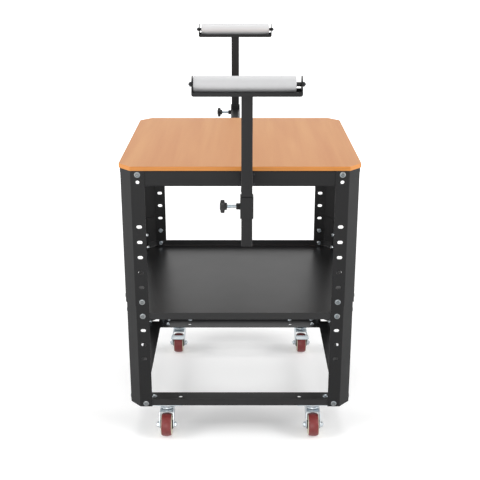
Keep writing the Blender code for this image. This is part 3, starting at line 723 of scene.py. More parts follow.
def new_tree(name, **inputs):
    """A node tree with named inputs, its incoming shape, and the outputs that carry each input."""
    tree = bpy.data.node_groups.new(name, "GeometryNodeTree")
    tree.interface.new_socket("Geometry", in_out="OUTPUT", socket_type="NodeSocketGeometry")
    for kind, labels in {"Geometry": ("Geometry",), "Material": ("Finish",), **inputs}.items():
        for label in labels:
            tree.interface.new_socket(label, in_out="INPUT", socket_type="NodeSocket" + kind)
    start = add_node(tree, "NodeGroupInput")
    return tree, {socket.name: socket for socket in start.outputs if socket.name}


def close_tree(tree, instances, size):
    """Ends a tree with plain geometry in one finish."""
    real = add_node(tree, "GeometryNodeRealizeInstances", links={"Geometry": instances})
    painted = add_node(tree, "GeometryNodeSetMaterial", links={"Geometry": real, "Material": size["Finish"]})
    add_node(tree, "NodeGroupOutput", links={"Geometry": painted})
    return tree


def run_tree(piece, tree, finish_name, values):
    """Runs a tree on a piece with its inputs set by identifier, and keeps the plain mesh."""
    change = piece.modifiers.new(tree.name, "NODES")
    change.node_group = tree
    named = {"Finish": finish(finish_name), **values}
    for item in tree.interface.items_tree:
        if item.in_out == "INPUT" and item.name in named:
            change[item.identifier] = named[item.name]
    bake(piece)
    return piece


def slot_tree():
    """Geometry Nodes: a column of upright slots, each a drum pulled sideways into a slot."""
    tree, size = new_tree("slot_column", Vector=("First Slot", "Turn"), Int=("Count",),
                          Float=("Pitch", "Slot Length", "Slot Height", "Depth"))
    down = add_node(tree, "ShaderNodeMath", {"operation": "MULTIPLY", 1: -1.0}, {0: size["Pitch"]})
    step = add_node(tree, "ShaderNodeCombineXYZ", links={"Z": down})
    line = add_node(tree, "GeometryNodeMeshLine", {"mode": "OFFSET"},
                    {"Count": size["Count"], "Start Location": size["First Slot"], "Offset": step})
    radius = add_node(tree, "ShaderNodeMath", {"operation": "MULTIPLY", 1: 0.5}, {0: size["Slot Height"]})
    drum = add_node(tree, "GeometryNodeMeshCylinder", {"Vertices": SMALL_SIDES},
                    {"Radius": radius, "Depth": size["Depth"]})
    spare = add_node(tree, "ShaderNodeMath", {"operation": "SUBTRACT"},
                     {0: size["Slot Length"], 1: size["Slot Height"]})
    reach = add_node(tree, "ShaderNodeMath", {"operation": "MULTIPLY", 1: 0.5}, {0: spare})
    parts = add_node(tree, "ShaderNodeSeparateXYZ", links={0: add_node(tree, "GeometryNodeInputPosition")})
    way = add_node(tree, "ShaderNodeMath", {"operation": "SIGN"}, {0: parts})
    push = add_node(tree, "ShaderNodeMath", {"operation": "MULTIPLY"}, {0: way, 1: reach})
    shift = add_node(tree, "ShaderNodeCombineXYZ", links={"X": push})
    slot = add_node(tree, "GeometryNodeSetPosition", links={"Geometry": drum, "Offset": shift})
    turn = add_node(tree, "FunctionNodeEulerToRotation", links={0: size["Turn"]})
    placed = add_node(tree, "GeometryNodeInstanceOnPoints",
                      links={"Points": line, "Instance": slot, "Rotation": turn})
    return close_tree(tree, placed, size)


def weld_tree():
    """Geometry Nodes: a weld laid along a line as overlapping drops."""
    tree, size = new_tree("weld_bead", Float=("Bead Width", "Drop Spacing"))
    line = add_node(tree, "GeometryNodeMeshToCurve", links={"Mesh": size["Geometry"]})
    even = add_node(tree, "GeometryNodeResampleCurve", {"mode": "LENGTH"},
                    {"Curve": line, "Length": size["Drop Spacing"]})
    radius = add_node(tree, "ShaderNodeMath", {"operation": "MULTIPLY", 1: 0.5}, {0: size["Bead Width"]})
    drop = add_node(tree, "GeometryNodeMeshUVSphere", {"Segments": 10, "Rings": 6}, {"Radius": radius})
    turn = add_node(tree, "FunctionNodeAlignRotationToVector", {"axis": "Z"},
                    {"Vector": add_node(tree, "GeometryNodeInputTangent")})
    drops = add_node(tree, "GeometryNodeInstanceOnPoints", {"Scale": (1, 1, 0.6)},
                     {"Points": even, "Instance": drop, "Rotation": turn})
    return close_tree(tree, drops, size)


def thread_tree():
    """Geometry Nodes: a screw thread, a ridge wound in a helix up a rod."""
    tree, size = new_tree("screw_thread", Float=("Core Radius", "Pitch", "Length"), Vector=("Start", "Turn"))
    turns = add_node(tree, "ShaderNodeMath", {"operation": "DIVIDE"}, {0: size["Length"], 1: size["Pitch"]})
    helix = add_node(tree, "GeometryNodeCurveSpiral", {"Resolution": 16},
                     {"Rotations": turns, "Start Radius": size["Core Radius"],
                      "End Radius": size["Core Radius"], "Height": size["Length"]})
    upright = add_node(tree, "GeometryNodeSetCurveNormal", {"mode": "Z_UP"}, {"Curve": helix})
    ridge = add_node(tree, "ShaderNodeMath", {"operation": "MULTIPLY", 1: THREAD_RIDGE_SHARE},
                     {0: size["Pitch"]})
    profile = add_node(tree, "GeometryNodeCurvePrimitiveCircle", {"Resolution": 4}, {"Radius": ridge})
    solid = add_node(tree, "GeometryNodeCurveToMesh", {"Fill Caps": True},
                     {"Curve": upright, "Profile Curve": profile})
    placed = add_node(tree, "GeometryNodeTransform",
                      links={"Geometry": solid, "Translation": size["Start"], "Rotation": size["Turn"]})
    return close_tree(tree, placed, size)


BOLT_SIZES = ("Head Flats", "Head Height", "Flange Radius", "Flange Height", "Groove Radius", "Groove Depth",
              "Boss Radius")


def bolt_tree():
    """Geometry Nodes: flange bolts, each a chamfered hexagon on a sloped flange, grooved round its centre.

    Each stands at a point, faces the point's own way and is turned by chance about its axis.
    """
    tree, size = new_tree("flange_bolts", Float=BOLT_SIZES)
    flats, height, depth = size["Head Flats"], size["Head Height"], size["Groove Depth"]
    cone = {"Vertices": SMALL_SIDES}
    corner = add_node(tree, "ShaderNodeMath", {"operation": "DIVIDE", 1: math.sqrt(3)}, {0: flats})
    half_flats = add_node(tree, "ShaderNodeMath", {"operation": "MULTIPLY", 1: 0.5}, {0: flats})
    half_height = add_node(tree, "ShaderNodeMath", {"operation": "MULTIPLY", 1: 0.5}, {0: height})
    hexagon = add_node(tree, "GeometryNodeMeshCylinder", {"Vertices": 6}, {"Radius": corner, "Depth": height})
    lift = add_node(tree, "ShaderNodeCombineXYZ", links={"Z": half_height})
    standing = add_node(tree, "GeometryNodeTransform", links={"Geometry": hexagon, "Translation": lift})
    wide = add_node(tree, "ShaderNodeMath", {"operation": "MULTIPLY", 1: 1.5}, {0: corner})
    chamfer = add_node(tree, "GeometryNodeMeshCone", cone,
                       {"Radius Top": half_flats, "Radius Bottom": wide, "Depth": height})
    eased = add_node(tree, "GeometryNodeMeshBoolean", {"operation": "INTERSECT", "solver": "EXACT"},
                     {"Mesh 2": (standing, chamfer)})
    flange = add_node(tree, "GeometryNodeMeshCone", cone,
                      {"Radius Top": corner, "Radius Bottom": size["Flange Radius"],
                       "Depth": size["Flange Height"]})
    head = add_node(tree, "GeometryNodeMeshBoolean", {"operation": "UNION", "solver": "EXACT"},
                    {"Mesh 2": (eased, flange)})
    both = add_node(tree, "ShaderNodeMath", {"operation": "ADD"},
                    {0: size["Groove Radius"], 1: size["Boss Radius"]})
    bottom = add_node(tree, "ShaderNodeMath", {"operation": "MULTIPLY", 1: 0.5}, {0: both})
    floor = add_node(tree, "ShaderNodeMath", {"operation": "SUBTRACT"}, {0: height, 1: depth})
    over = add_node(tree, "ShaderNodeMath", {"operation": "ADD", 1: GROOVE_OVERRUN}, {0: floor})
    stood = []
    for top, rise in ((size["Groove Radius"], over), (size["Boss Radius"], floor)):
        shape = add_node(tree, "GeometryNodeMeshCone", cone,
                         {"Radius Bottom": bottom, "Radius Top": top, "Depth": depth})
        at = add_node(tree, "ShaderNodeCombineXYZ", links={"Z": rise})
        stood.append(add_node(tree, "GeometryNodeTransform", links={"Geometry": shape, "Translation": at}))
    pit, boss = stood
    grooved = add_node(tree, "GeometryNodeMeshBoolean", {"operation": "DIFFERENCE", "solver": "EXACT"},
                       {"Mesh 1": head, "Mesh 2": pit})
    whole = add_node(tree, "GeometryNodeMeshBoolean", {"operation": "UNION", "solver": "EXACT"},
                     {"Mesh 2": (grooved, boss)})
    facing = add_node(tree, "GeometryNodeInputNamedAttribute",
                      {"data_type": "FLOAT_VECTOR", "Name": "facing"})
    aim = add_node(tree, "FunctionNodeAlignRotationToVector", {"axis": "Z"}, {"Vector": facing})
    spin = add_node(tree, "FunctionNodeRandomValue", {"data_type": "FLOAT", "Seed": 7, 3: math.tau})
    about = add_node(tree, "FunctionNodeAxisAngleToRotation", {"Axis": (0, 0, 1)}, {"Angle": spin.outputs[1]})
    turned = add_node(tree, "FunctionNodeRotateRotation", {"rotation_space": "LOCAL"},
                      {"Rotation": aim, "Rotate By": about})
    placed = add_node(tree, "GeometryNodeInstanceOnPoints",
                      links={"Points": size["Geometry"], "Instance": whole, "Rotation": turned})
    return close_tree(tree, placed, size)


def weld(name, body, *paths):
    """A piece of weld beads along closed paths."""
    beads = new_object(name, *((add_path, path) for path in paths))
    run_tree(beads, weld_tree(), "coat", {"Bead Width": WELD_WIDTH, "Drop Spacing": WELD_SPACING})
    dress(beads, body, "coat", smooth=WELD_ANGLE)


def threaded_rod(name, radius, axis, low, high, at, threads, finish_name):
    """A rod whose core carries a real thread over each given stretch."""
    core = radius - THREAD_DEPTH
    tip = core - TIP_EASE
    rod = (add_lathe, [(low, 0), (low, tip), (low + TIP_EASE, core), (high - TIP_EASE, core), (high, tip),
                       (high, 0)], axis, at)
    turn = {"X": (0, math.pi / 2, 0), "Y": (-math.pi / 2, 0, 0), "Z": (0, 0, 0)}[axis]
    parts = [(add_mesh_of, new_object(name, rod))]
    for start, stop in threads:
        ridge = run_tree(new_object("thread"), thread_tree(), finish_name, {
            "Core Radius": core, "Pitch": sizes().thread_pitch, "Length": stop - start,
            "Start": point_on(axis, start, 0, 0) + Vector(at), "Turn": Vector(turn)})
        parts.append((add_mesh_of, ridge))
    return new_object(name, *parts)


# Tabletop

class STAND_OT_tabletop(Operator):
    """Laminated board with cut corners and a glued edge band"""

    bl_idname = "tool_stand.tabletop"
    bl_label = "Tabletop"

    def execute(self, context):
        low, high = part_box("tabletop")
        small, band = sizes().board_edge, sizes().band
        rings = []
        for inset in (0, band):
            x, y = high.x - inset, high.y - inset
            bend = TABLE_CHAMFER - inset * (2 - math.sqrt(2))
            corners = [(x, -y + bend), (x, y - bend), (x - bend, y), (-x + bend, y),
                       (-x, y - bend), (-x, -y + bend), (-x + bend, -y), (x - bend, -y)]
            rings.append(rounded_outline(corners, 3 * small - inset))
        outer, seam = rings
        board = new_object("tabletop_board", (add_prism, seam, "Z", low.z, high.z))
        dress(board, "stand", "beech", ("tabletop",), small / 4)
        strip = new_object("tabletop_edge_band", (add_tube, outer, seam, "Z", low.z, high.z - small / 9))
        dress(strip, "stand", "band", (), small / 3)
        return {"FINISHED"}


# Sheet steel frame

def corner_point(side, end, u, v):
    """A plan point from its distances inside the stand's outer side and outer end."""
    return Vector((side * (HALF_WIDTH - u), end * (HALF_DEPTH - v)))


def bend_at(inset):
    """Where the leg's chamfer starts, at a depth inside the corner."""
    return LEG_CHAMFER + (math.sqrt(2) - 1) * inset


def slot_height(number):
    return FRAME_TOP - FIRST_SLOT_DROP - number * SLOT_PITCH


def cut_slots(leg, side, end, first, count, tree):
    """Cuts one run of slots through both flanges of a leg."""
    hole = corner_point(side, end, HOLE_INSET, HOLE_INSET)
    face = corner_point(side, end, LEG_STEP, LEG_STEP)
    quarter = math.pi / 2
    for place, turn in ((Vector((hole.x, face.y, first)), (quarter, 0, 0)),
                        (Vector((face.x, hole.y, first)), (quarter, 0, quarter))):
        combine(leg, run_tree(new_object("slots"), tree, "coat", {
            "First Slot": place, "Turn": Vector(turn), "Count": count, "Pitch": SLOT_PITCH,
            "Slot Length": SLOT_LENGTH, "Slot Height": SLOT_HEIGHT, "Depth": 4 * LEG_STEP}))


def through(way, face):
    """From inside the rails to outside the legs, at an outer face of the stand."""
    return sorted((way * (face + OVERRUN), way * (face - 2 * OVERRUN)))


def top_holes(side, end):
    """A cutter for the round hole under the top bolt of each flange, and the rail behind it."""
    hole = corner_point(side, end, HOLE_INSET, HOLE_INSET)
    height = FRAME_TOP - TOP_HOLE_DROP
    return new_object("top_holes", *(
        (add_prism, circle((across, height), TOP_HOLE_RADIUS, SMALL_SIDES), axis, *through(way, face))
        for axis, across, way, face in (("Y", hole.x, end, HALF_DEPTH), ("X", hole.y, side, HALF_WIDTH))))


class STAND_OT_legs(Operator):
    """Bent angle legs in two lapped sections, punched with slots"""

    bl_idname = "tool_stand.legs"
    bl_label = "Legs"

    def execute(self, context):
        slots = slot_tree()
        for side, side_name in SIDES:
            for end, end_name in ENDS:
                for part, inset, low, high, runs in (
                        ("upper", 0, LEG_LOW, LEG_HIGH, ((0, 5),)),
                        ("lower", LEG_STEP, LOWER_LOW, LOWER_HIGH, ((4, 1), (7, 3)))):
                    node = end_name + "_" + side_name + "_leg_" + part
                    bend = bend_at(inset)
                    path = [(inset, LEG_FLANGE), (inset, bend), (bend, inset), (LEG_FLANGE, inset)]
                    outline = [corner_point(side, end, *p)
                               for p in folded_sheet(path, LEG_SHEET, sizes().bend)]
                    leg = new_object(node + "_sheet", (add_prism, outline, "Z", low.z, high.z))
                    for number, count in runs:
                        cut_slots(leg, side, end, slot_height(number), count, slots)
                    if part == "upper":
                        combine(leg, top_holes(side, end))
                    dress(leg, "stand", "coat", (node,), sizes().edge)
        return {"FINISHED"}


def new_rail(name, low, high, side, end, path, inset, sheet):
    """A rail from its section's path, run along the end or the side of the stand that it belongs to."""
    axis, way, face, start, stop = ("X", end, HALF_DEPTH, low.x, high.x)
    if side:
        axis, way, face, start, stop = ("Y", side, HALF_WIDTH, low.y, high.y)
    section = folded_sheet(path, sheet, sizes().bend)
    outline = [(way * (face - inset - depth), height) for depth, height in section]
    return new_object(name, (add_prism, outline, axis, start, stop))


class STAND_OT_top_rails(Operator):
    """Channel rails under the tabletop, the end ones with a window for the guide tube"""

    bl_idname = "tool_stand.top_rails"
    bl_label = "Top rails"

    def execute(self, context):
        for side, end, name in RAIL_PLACES:
            node = name + "_top_rail"
            low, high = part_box(node)
            flange = high.y - low.y if end else high.x - low.x
            path = [(flange, high.z), (0, high.z), (0, low.z), (RAIL_BOTTOM_FLANGE, low.z)]
            rail = new_rail(node + "_channel", low, high, side, end, path, LEG_STEP, RAIL_SHEET)
            if end:
                x, z = guide_axis(name)
                half = GUIDE_SIZE / 2 + FIT
                window = rounded_outline(rectangle(x - half, x + half, z - half, z + half), TUBE_CORNER)
                combine(rail, new_object("window", (add_prism, window, "Y", *through(end, HALF_DEPTH))))
            for hole_side in (side,) if side else (-1, 1):
                for hole_end in (end,) if end else (-1, 1):
                    combine(rail, top_holes(hole_side, hole_end))
            dress(rail, "stand", "coat", (node,), sizes().edge)
        return {"FINISHED"}


def bolt_places(centre):
    """The plan places of the four bolts round a caster's centre."""
    return [(centre.x + lengthways * PLATE_HOLE_LENGTHWAYS / 2,
             centre.y + crossways * PLATE_HOLE_CROSSWAYS / 2)
            for lengthways in (-1, 1) for crossways in (-1, 1)]


def bolt_slots(places, length, turn, low, high):
    """A cutter for the slots of caster bolts."""
    return new_object("holes", *((add_prism, slot_outline(place, length, turn), "Z", low - OVERRUN,
                                  high + OVERRUN) for place in places))


class STAND_OT_base_rails(Operator):
    """Angle rails at the foot, drilled for the casters"""

    bl_idname = "tool_stand.base_rails"
    bl_label = "Base rails"

    def execute(self, context):
        for side, end, name in RAIL_PLACES:
            node = name + "_base_rail"
            low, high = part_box(node)
            flange = high.y - low.y if end else high.x - low.x
            path = [(0, high.z), (0, low.z), (flange, low.z)]
            rail = new_rail(node + "_angle", low, high, side, end, path, 2 * LEG_STEP, BASE_SHEET)
            if end:
                centres = [box(name + "_" + side_name + "_caster_plate")[2] for way, side_name in SIDES]
                places = [place for centre in centres for place in bolt_places(centre)]
                combine(rail, bolt_slots(places, RAIL_SLOT, 0, low.z, low.z))
            else:
                combine(rail, self.corner_gussets(side, low, flange), "UNION")
            dress(rail, "stand", "pan", (node,), sizes().edge)
        return {"FINISHED"}

    def corner_gussets(self, side, low, flange):
        """The hollow curve where a side rail's flange runs into the flange of each end rail."""
        end_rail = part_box("front_base_rail")[1]
        edge_x = HALF_WIDTH - 2 * LEG_STEP - flange
        shapes = []
        for end in (-1, 1):
            corner = Vector((side * edge_x, end * -end_rail.y))
            inner = Vector((corner.x - side * GUSSET_REACH, corner.y - end * GUSSET_REACH))
            outline = [Vector((inner.x + side * p.x, inner.y + end * p.y))
                       for p in arc((0, 0), GUSSET_REACH, 0, 90, 8)]
            outline += [corner + Vector((0, end * MM)), corner + Vector((side * MM, end * MM)),
                        corner + Vector((side * MM, -end * GUSSET_REACH))]
            shapes.append((add_prism, outline, "Z", low.z, low.z + BASE_SHEET))
        return new_object("gussets", *shapes)


class STAND_OT_shelf(Operator):
    """Tray shelf: a pan with an upturned lip that follows the legs"""

    bl_idname = "tool_stand.shelf"
    bl_label = "Tray shelf"

    def execute(self, context):
        low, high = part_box("tray_shelf")
        bend, outer = sizes().bend, sizes().bend + SHELF_SHEET
        profile = [(outer + p.x, low.z + outer + p.y) for p in arc((0, 0), outer, -90, -180, CORNER_STEPS)]
        profile += [(0, high.z), (SHELF_SHEET, high.z)]
        profile += [(outer + p.x, low.z + outer + p.y) for p in arc((0, 0), bend, -180, -90, CORNER_STEPS)]
        pan = new_object("tray_shelf_pan", (self.add_pan, profile, outer))
        dress(pan, "stand", "pan", ("tray_shelf",), sizes().edge)
        return {"FINISHED"}

    def add_pan(self, work, profile, outer):
        """Loops round the shelf, at each step in from the legs and up the lip."""
        loops = []
        for depth, height in profile:
            inset = 2 * LEG_STEP + depth
            bend = bend_at(inset)
            corners = []
            for side, end in ((1, 1), (-1, 1), (-1, -1), (1, -1)):
                cut = [corner_point(side, end, inset, bend), corner_point(side, end, bend, inset)]
                corners += cut if side == end else list(reversed(cut))
            outline = rounded_outline(corners, 2 * outer - depth, 3)
            loops.append([work.verts.new((*p, height)) for p in outline])
        for near, far in zip(loops, loops[1:]):
            add_band(work, near, far)
        work.faces.new(loops[0])
        work.faces.new(list(reversed(loops[-1])))


# Roller supports

def guide_axis(end_name):
    """The X and Z of the line that an arm slides along."""
    low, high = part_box(end_name + "_arm_plug")
    return (low.x + high.x) / 2, (low.z + high.z) / 2


def lifted(outline, x, y):
    return [(p.x + x, p.y + y) for p in outline]


class STAND_OT_guides(Operator):
    """Guide tubes under the top, each with its flange and a welded nut"""

    bl_idname = "tool_stand.guides"
    bl_label = "Arm guides"

    def execute(self, context):
        for end, name in ENDS:
            node = name + "_arm_guide"
            low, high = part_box(node)
            rail_low, rail_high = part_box(name + "_top_rail")
            x, z = guide_axis(name)
            outline, bore = square_outlines(GUIDE_SIZE, GUIDE_WALL)
            behind = HALF_DEPTH - LEG_STEP - RAIL_SHEET - FIT
            near, far = sorted((end * behind, end * (behind - RAIL_SHEET)))
            plate = rounded_outline(rectangle(low.x, high.x, rail_low.z + RAIL_SHEET + FIT,
                                              rail_high.z - RAIL_SHEET - FIT), TUBE_CORNER)
            flange = new_object("flange", (add_prism, plate, "Y", near, far))
            combine(flange, new_object("pass", (add_prism, lifted(outline, x, z), "Y", near - OVERRUN,
                                                far + OVERRUN)))
            tube = new_object(node + "_tube", (add_mesh_of, flange),
                              (add_tube, outline, bore, "Y", low.y, high.y, (x, 0, z)))
            dress(tube, "stand", "coat", (node,), sizes().edge / 2)
            centre = box(name + "_arm_knob")[2]
            bottom = z - GUIDE_SIZE / 2
            profile = nut_profile(bottom - NUT_THICK, bottom, NUT_FLATS, SCREW_RADIUS + FIT)
            nut = new_object(node + "_nut", (add_lathe, profile, "Z", (centre.x, centre.y, 0)))
            dress(nut, "stand", "coat")
            weld(node + "_weld", "stand",
                 [(*p, bottom) for p in circle(centre.xy, NUT_FLATS / 2 + MM / 2, SMALL_SIDES)],
                 [(x + p.x, near if end < 0 else far, z + p.y) for p in outline])
        return {"FINISHED"}


class STAND_OT_arms(Operator):
    """Sliding arms, each a square tube welded to the sleeve that holds a post"""

    bl_idname = "tool_stand.arms"
    bl_label = "Arms"

    def execute(self, context):
        for end, name in ENDS:
            node = name + "_arm"
            low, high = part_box(node)
            x, z = guide_axis(name)
            plug_low, plug_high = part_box(name + "_arm_plug")
            size = plug_high.z - plug_low.z
            sleeve = high.x - x
            y = (low.y if end < 0 else high.y) - end * sleeve
            near, far = (y + sleeve, high.y) if end < 0 else (low.y, y - sleeve)
            face = x - sleeve
            profile = nut_profile(face - NUT_THICK, face, NUT_FLATS, SCREW_RADIUS + FIT)
            arm = new_object(
                node + "_tube",
                (add_tube, *square_outlines(2 * sleeve, SLEEVE_WALL), "Z", low.z, high.z, (x, y, 0)),
                (add_tube, *square_outlines(size, ARM_WALL), "Y", near, far, (x, 0, z)),
                (add_lathe, profile, "X", (0, y, z)))
            dress(arm, node, "coat", (node,), sizes().edge / 2)
            weld(node + "_weld", node,
                 [(x + p.x, near if end < 0 else far, z + p.y) for p in square_outlines(size, ARM_WALL)[0]],
                 [(face, y + p.x, z + p.y) for p in circle((0, 0), NUT_FLATS / 2, SMALL_SIDES)])
            add_plug(name + "_arm_plug", node, "Y", end)
        return {"FINISHED"}


def add_plug(node, body, axis, inward):
    """A moulded end plug: an eased head on the end of the tube, and a narrower stem inside it."""
    low, high, centre = box(node)
    index = "XYZ".index(axis)
    along = sorted((low[index], high[index]), reverse=inward < 0)
    size = min(high.x - low.x, high.y - low.y) if axis == "Z" else high.x - low.x
    head = along[0] + inward * 2 * MM
    at = [centre.x, centre.y, centre.z]
    at[index] = 0
    plug = new_object(node + "_moulding", (add_prism, square_outlines(size, ARM_WALL)[0], axis,
                                           *sorted((along[0], head)), at))
    stem = rounded_outline(square(size - 2 * ARM_WALL - 4 * FIT), MM)
    combine(plug, new_object("stem", (add_prism, stem, axis, *sorted((head - inward * MM, along[1])), at)),
            "UNION")
    dress(plug, body, "nylon", (node,), PRESSED_EDGE)


class STAND_OT_posts(Operator):
    """Square posts with the roller brackets on their tops"""

    bl_idname = "tool_stand.posts"
    bl_label = "Posts and brackets"

    def execute(self, context):
        for end, name in ENDS:
            body = name + "_post"
            low, high, centre = box(body)
            outline, bore = square_outlines(high.x - low.x, POST_WALL)
            tube = new_object(body + "_tube",
                              (add_tube, outline, bore, "Z", low.z, high.z, (centre.x, centre.y, 0)))
            dress(tube, body, "coat", (body,), sizes().edge / 2)
            add_plug(name + "_post_plug", body, "Z", 1)
            self.add_bracket(name, body)
            weld(body + "_weld", body, [(*p, high.z) for p in lifted(outline, centre.x, centre.y)])
        return {"FINISHED"}

    def add_bracket(self, name, body):
        """A channel with round-headed ears and a low lip across each of its ends."""
        node = name + "_bracket"
        low, high, centre = box(node)
        roller_low, roller_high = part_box(name + "_roller")
        axis_z = (roller_low.z + roller_high.z) / 2
        half = (high.y - low.y) / 2
        path = [(low.x, high.z), (low.x, low.z), (high.x, low.z), (high.x, high.z)]
        section = folded_sheet(path, BRACKET_SHEET, PRESSED_BEND)
        bracket = new_object(node + "_sheet", (add_prism, section, "Y", low.y, high.y))
        rise = axis_z - low.z
        distance = math.hypot(half, rise - BRACKET_LIP)
        lean = math.degrees(math.atan2(BRACKET_LIP - rise, half) + math.acos(EAR_RADIUS / distance))
        foot = rectangle(-half - OVERRUN, half + OVERRUN, -OVERRUN, BRACKET_LIP)
        ear = foot[:3] + [Vector((half, BRACKET_LIP))] + arc((0, rise), EAR_RADIUS, lean, 180 - lean, 24)
        ear += [Vector((-half, BRACKET_LIP)), foot[3]]
        across = (low.x - OVERRUN, high.x + OVERRUN)
        combine(bracket, new_object("ear", (add_prism, ear, "X", *across, (0, centre.y, low.z))), "INTERSECT")
        corner = BRACKET_SHEET + PRESSED_BEND
        inside = BRACKET_SHEET / 2
        lip = arc((low.x + corner, low.z + corner), corner - inside, 180, 270, CORNER_STEPS)
        lip += arc((high.x - corner, low.z + corner), corner - inside, 270, 360, CORNER_STEPS)
        lip += rectangle(low.x + inside, high.x - inside, low.z, low.z + BRACKET_LIP)[2:]
        for face in (low.y, high.y - BRACKET_SHEET):
            combine(bracket, new_object("lip", (add_prism, lip, "Y", face, face + BRACKET_SHEET)), "UNION")
        bore = circle((centre.y, axis_z), ROLLER_AXLE_BORE, SMALL_SIDES)
        combine(bracket, new_object("bore", (add_prism, bore, "X", *across)))
        dress(bracket, body, "coat", (node,), PRESSED_EDGE)


class STAND_OT_rollers(Operator):
    """Tube rollers with pressed ends, on nutted axles with spacers"""

    bl_idname = "tool_stand.rollers"
    bl_label = "Rollers"

    def execute(self, context):
        for end, name in ENDS:
            node = name + "_roller"
            low, high, centre = box(node)
            at = Vector((0, centre.y, centre.z))
            radius = (high.z - low.z) / 2
            rim = arc((0, 0), ROLLER_EASE, 0, 90, 4)
            left = [(low.x + ROLLER_EASE - p.y, radius - ROLLER_EASE + p.x) for p in reversed(rim)]
            right = [(high.x - ROLLER_EASE + p.y, radius - ROLLER_EASE + p.x) for p in rim]
            bore = radius - ROLLER_WALL
            profile = [(low.x, bore), *left, *right, (high.x, bore)]
            tube = new_object(node + "_tube", (add_lathe, profile, "X", at, ROUND_SIDES))
            dress(tube, node, "tube", (node,))
            self.add_caps(node, low, high, at, bore)
            self.add_axle(name, name + "_post", at)
        return {"FINISHED"}

    def add_caps(self, node, low, high, at, bore):
        """Pressed end discs with a shallow dish and a bearing boss."""
        discs = []
        for end, way in ((low.x, 1), (high.x, -1)):
            steps = ((DISC_RIM, bore - FIT / 3), (DISC_RIM, bore - DISC_LIP),
                     (DISC_DISH, bore - DISC_SLOPE), (DISC_DISH, DISC_BOSS_RADIUS + MM),
                     (DISC_FACE, DISC_BOSS_RADIUS), (DISC_FACE, DISC_BORE),
                     (DISC_DEEP, DISC_BORE), (DISC_DEEP, bore - FIT / 3))
            discs.append((add_lathe, [(end + way * along, reach) for along, reach in steps], "X", at,
                          ROUND_SIDES))
        dress(new_object(node + "_end_discs", *discs), node, "zinc", edge=DISC_EDGE)

    def add_axle(self, name, body, at):
        """A threaded rod with its nuts outside the ears and a spacer at each end of the roller."""
        node = name + "_roller_axle"
        low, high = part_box(node)
        ear_low, ear_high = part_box(name + "_bracket")
        threads = ((low.x + MM / 2, ear_low.x), (ear_high.x, high.x - MM / 2))
        rod = threaded_rod(node + "_rod", ROLLER_AXLE_RADIUS, "X", low.x, high.x, at, threads, "oxide")
        dress(rod, body, "oxide", (node,), smooth=THREAD_ANGLE)
        ends = ((low.x + AXLE_PROUD, ear_low.x - FIT), (ear_high.x + FIT, high.x - AXLE_PROUD))
        nuts = new_object(node + "_nuts", *(
            (add_lathe, nut_profile(near, far, ROLLER_NUT_FLATS, ROLLER_NUT_BORE), "X", at)
            for near, far in ends))
        dress(nuts, body, "oxide", smooth=THREAD_ANGLE)
        for side, side_name in SIDES:
            spacer = name + "_" + side_name + "_roller_spacer"
            near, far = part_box(spacer)
            outer = (far.z - near.z) / 2
            profile = [(near.x, ROLLER_AXLE_BORE), (near.x, outer - SPACER_EASE),
                       (near.x + SPACER_EASE, outer), (far.x - SPACER_EASE, outer),
                       (far.x, outer - SPACER_EASE), (far.x, ROLLER_AXLE_BORE)]
            ring = new_object(spacer + "_ring", (add_lathe, profile, "X", at))
            dress(ring, body, "nylon", (spacer,))


# Knobs

class STAND_OT_knobs(Operator):
    """Star knobs moulded on screws, for the posts and under the guides"""

    bl_idname = "tool_stand.knobs"
    bl_label = "Knobs"

    def execute(self, context):
        for end, name in ENDS:
            for kind, axis in (("arm", "Z"), ("post", "X")):
                node = name + "_" + kind + "_knob"
                low, high, centre = box(node)
                index = "XYZ".index(axis)
                at = centre.copy()
                at[index] = 0
                self.add_star(node, axis, low[index], at)
                face = low[index] + KNOB_CROWN + KNOB_THICK + KNOB_HUB_LENGTH
                screw = threaded_rod(node + "_screw", SCREW_RADIUS, axis, face - OVERRUN, high[index], at,
                                     ((face - MM, high[index] - MM),), "zinc")
                dress(screw, node, "zinc", smooth=THREAD_ANGLE)
        return {"FINISHED"}

    def add_star(self, node, axis, outer, at):
        """The moulding: a domed face with a cap, seven soft lobes and a tapered hub."""
        front = outer + KNOB_CROWN
        back = front + KNOB_THICK
        hub_end = back + KNOB_HUB_LENGTH
        cap, hub, edge = KNOB_CROWN_RADIUS, KNOB_HUB_RADIUS, KNOB_RADIUS - KNOB_EDGE
        profile = [(outer, 0), (outer, cap - KNOB_CAP_DOME), (outer + KNOB_CAP_LIP, cap - KNOB_CAP_SLOPE),
                   (front, cap), (front, cap + KNOB_CAP_LIP, KNOB_FACE_LOBE_SHARE)]
        profile += [(front + KNOB_EDGE - p.y, edge + p.x, KNOB_LOBE_SHARE)
                    for p in arc((0, 0), KNOB_EDGE, 90, 0, 5)]
        profile += [(back - KNOB_EDGE + p.y, edge + p.x, KNOB_LOBE_SHARE)
                    for p in arc((0, 0), KNOB_EDGE, 0, 90, 5)]
        profile += [(back, hub + MM, KNOB_BACK_LOBE_SHARE), (back + KNOB_HUB_FOOT, hub + KNOB_HUB_FLARE),
                    (hub_end - KNOB_HUB_EASE, hub - KNOB_HUB_DRAFT),
                    (hub_end, hub - KNOB_HUB_DRAFT - KNOB_HUB_EASE), (hub_end, 0)]
        star = new_object(node + "_star", (add_lathe, profile, axis, at, 16 * KNOB_LOBES))
        dress(star, node, "nylon", (node,), smooth=MOULDED_ANGLE)


# Casters

def pedal_pin(name):
    """The line that a brake pedal turns about, from its joint in the record."""
    joint = next(j for j in frame["joints"] if j["name"] == name + "_brake")
    return Vector(joint["pos_m"])


